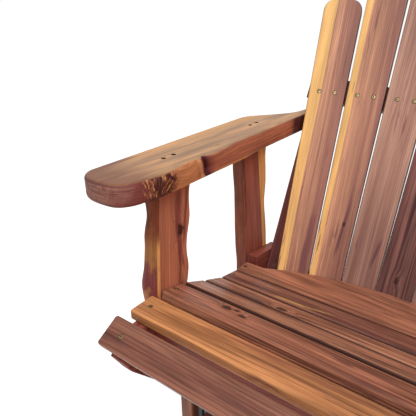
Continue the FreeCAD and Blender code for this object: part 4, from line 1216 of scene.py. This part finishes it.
def build_plates():
    for word, side in SIDES:
        for end in ("front", "rear"):
            node = "%s_%s_link" % (word, end)
            flat_piece(node + "_plate", node, side * X_AXIS, SIDE_AXES, PLATE_EASE, BLACK,
                       end + "_rocker", "black_steel")


# screws and bolts
SCREW_HEAD = 0.0043


def screw_rings(length):
    """A countersunk deck screw with a six-lobed recess, from its recess floor to its tip."""
    size = SCREW_HEAD
    return [
        (0.42 * size, lobed(0.34 * size, 0.1)),
        (0.05 * size, lobed(0.42 * size, 0.14)),
        (0, lobed(0.47 * size, 0.14)),
        (0.01 * size, 0.74 * size),
        (0.06 * size, 0.88 * size),
        (0.16 * size, 0.93 * size),
        (0.28 * size, 0.84 * size),
        (0.7 * size, 0.46 * size),
        (0.8 * length, 0.44 * size),
        (length, 0.06 * size),
    ]


BOLT_HEAD = 0.009
BOLT_HEAD_THICK = 0.004
BOLT_SHANK = 0.004
BOLT_TAIL = 0.002
NUT_SIZE = 0.0075
NUT_THICK = 0.007
DOME_STEPS = 6


def nut_rings(start, thick, size):
    """A hexagon nut or head with its corners chamfered at both ends."""
    full, chamfer = hexagon(size), 0.12 * size
    trimmed = clipped(full, 0.9 * size)
    end = start + thick
    return [(start, trimmed), (start + chamfer, full), (end - chamfer, full), (end, trimmed)]


def carriage_rings(length):
    """A carriage bolt with a domed head and a hexagon nut near its far end."""
    rings = []
    for step in range(1, DOME_STEPS + 1):
        angle = math.pi / 2 * step / DOME_STEPS
        rings.append((0.85 * BOLT_HEAD_THICK * (1 - math.cos(angle)), BOLT_HEAD * math.sin(angle)))
    nut = length - BOLT_TAIL - NUT_THICK
    return rings + [
        (BOLT_HEAD_THICK, BOLT_HEAD), (BOLT_HEAD_THICK, BOLT_SHANK), (nut, BOLT_SHANK),
        *nut_rings(nut, NUT_THICK, NUT_SIZE),
        (length - BOLT_TAIL, BOLT_SHANK), (length - 0.3 * BOLT_TAIL, BOLT_SHANK), (length, 0.75 * BOLT_SHANK),
    ]


PIVOT_SHANK = 0.006
PIVOT_HEAD = 0.01
PIVOT_HEAD_THICK = 0.008
PIVOT_SOCKET = 0.005
COLLAR_SIZE = 0.011
COLLAR_AT = 0.0208
COLLAR_THICK = 0.0036
PIVOT_TAIL = 0.003
KING_NUT = 0.014
KING_NUT_THICK = 0.012
KING_TAIL = 0.004
BREAK = 0.0005


def shoulder_rings(length):
    """A shoulder bolt: socket head, collar against the hanger, hexagon nut near the far end."""
    nut = length - PIVOT_TAIL - NUT_THICK
    collar_end = COLLAR_AT + COLLAR_THICK
    return [
        (0.6 * PIVOT_HEAD_THICK, hexagon(PIVOT_SOCKET)), (0, hexagon(PIVOT_SOCKET)),
        (0, PIVOT_HEAD - 2 * BREAK), (2 * BREAK, PIVOT_HEAD),
        (PIVOT_HEAD_THICK - BREAK, PIVOT_HEAD), (PIVOT_HEAD_THICK, PIVOT_HEAD - BREAK),
        (PIVOT_HEAD_THICK, PIVOT_SHANK), (COLLAR_AT, PIVOT_SHANK),
        (COLLAR_AT, COLLAR_SIZE - BREAK), (COLLAR_AT + BREAK, COLLAR_SIZE),
        (collar_end - BREAK, COLLAR_SIZE), (collar_end, COLLAR_SIZE - BREAK),
        (collar_end, PIVOT_SHANK), (nut, PIVOT_SHANK), *nut_rings(nut, NUT_THICK, PIVOT_HEAD),
        (length - PIVOT_TAIL, PIVOT_SHANK), (length - 2 * BREAK, PIVOT_SHANK),
        (length, PIVOT_SHANK - 2 * BREAK),
    ]


def king_rings(length):
    """The king bolt from its threaded end: lock nut, shank and hexagon head."""
    head = length - PIVOT_HEAD_THICK
    return [
        (0, PIVOT_SHANK - 2 * BREAK), (2 * BREAK, PIVOT_SHANK), (KING_TAIL, PIVOT_SHANK),
        *nut_rings(KING_TAIL, KING_NUT_THICK, KING_NUT),
        (KING_TAIL + KING_NUT_THICK, PIVOT_SHANK), (head, PIVOT_SHANK),
        *nut_rings(head, PIVOT_HEAD_THICK, PIVOT_HEAD),
    ]


# node: (body, slot, finish, rings)
FASTENERS = {
    "back_slat_screws": ("seat", "deck_screw", DECK_SCREW, screw_rings),
    "seat_slat_screws": ("seat", "deck_screw", DECK_SCREW, screw_rings),
    "arm_screws": ("seat", "deck_screw", DARK_SCREW, screw_rings),
    "turntable_screws": ("turntable", "zinc_steel", ZINC, screw_rings),
    "lower_race_screws": ("floor_base", "zinc_steel", ZINC, screw_rings),
    "frame_bolts": ("seat", "zinc_steel", ZINC, carriage_rings),
    "bracket_bolts": ("turntable", "zinc_steel", ZINC, carriage_rings),
    "pivot_bolts": ("seat", "zinc_steel", ZINC, shoulder_rings),
    "king_bolt": ("floor_base", "zinc_steel", ZINC, king_rings),
}


UPRIGHT = 0.9


def build_fasteners():
    """Screws and bolts, those in the arms' upper faces sunk in their holes."""
    for node, (body, slot, finish, rings) in FASTENERS.items():
        mesh = bmesh.new()
        for place, length in fasteners(node):
            upright = abs(place.col[2].z) > UPRIGHT
            sunk = ARM_HOLE_DEPTH if upright and node == "arm_screws" else 0
            turned(mesh, place @ Matrix.Translation((0, 0, sunk)), rings(length - sunk))
        piece(node + "_set", mesh, finish, body, slot, node)


def foot_rings(radius, height):
    """A rubber foot with a sunk screw seat below, a rounded tread and a groove round its side."""
    groove = 0.03 * radius
    return [
        (0.4 * height, 0.2 * radius), (0.36 * height, 0.3 * radius), (0, 0.34 * radius),
        (0, 0.9 * radius), (0.06 * height, 0.96 * radius), (0.2 * height, radius), (0.46 * height, radius),
        (0.5 * height, radius - groove), (0.62 * height, radius - groove), (0.66 * height, radius),
        (0.94 * height, radius), (height, radius - groove),
    ]


def build_feet():
    mesh = bmesh.new()
    for points in solids("base_feet"):
        low, high = Vector(points.min(axis=0)), Vector(points.max(axis=0))
        middle = Vector(((low.x + high.x) / 2, (low.y + high.y) / 2, low.z))
        turned(mesh, Matrix.Translation(middle), foot_rings((high.x - low.x) / 2, high.z - low.z))
    piece("base_feet_set", mesh, RUBBER, "floor_base", "rubber_foot", "base_feet")


def build_brackets():
    for end in ("front", "rear"):
        node = end + "_pivot_brackets"
        mesh = bmesh.new()
        for points in solids(node):
            side = math.copysign(1, points[0][0])
            outline, *holes = face_loops(node, side * X_AXIS)
            low, high = points[:, 0].min(), points[:, 0].max()
            loop = evenly([tuple(point.yz) for point in outline], OUTLINE_STEP)
            slab(mesh, loop, low, high, SIDE_AXES, lambda point, normal: PLATE_EASE,
                 pockets=pockets_of(holes, SIDE_AXES, high - low))
        piece(node + "_set", mesh, BLACK, "turntable", "black_steel", node)


KEPT_FINISHES = {
    "zinc_steel": ZINC, "bright_steel": BRIGHT, "black_steel": BLACK, "nylon_bush": NYLON,
    "rubber_foot": RUBBER,
}


def paint_kept():
    """Metal, plastic and rubber nodes that keep their CAD shape."""
    for node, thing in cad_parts.items():
        finish = KEPT_FINISHES.get(thing.material_slots[0].material.name)
        if finish:
            paint(node, finish)


build_slats()
build_arms()
build_posts()
build_rails()
build_frame_boards()
build_plates()
build_fasteners()
build_feet()
build_brackets()
paint_kept()
build_floor()
build_lights()
build_camera()

bpy.context.scene.view_settings.view_transform = "Standard"
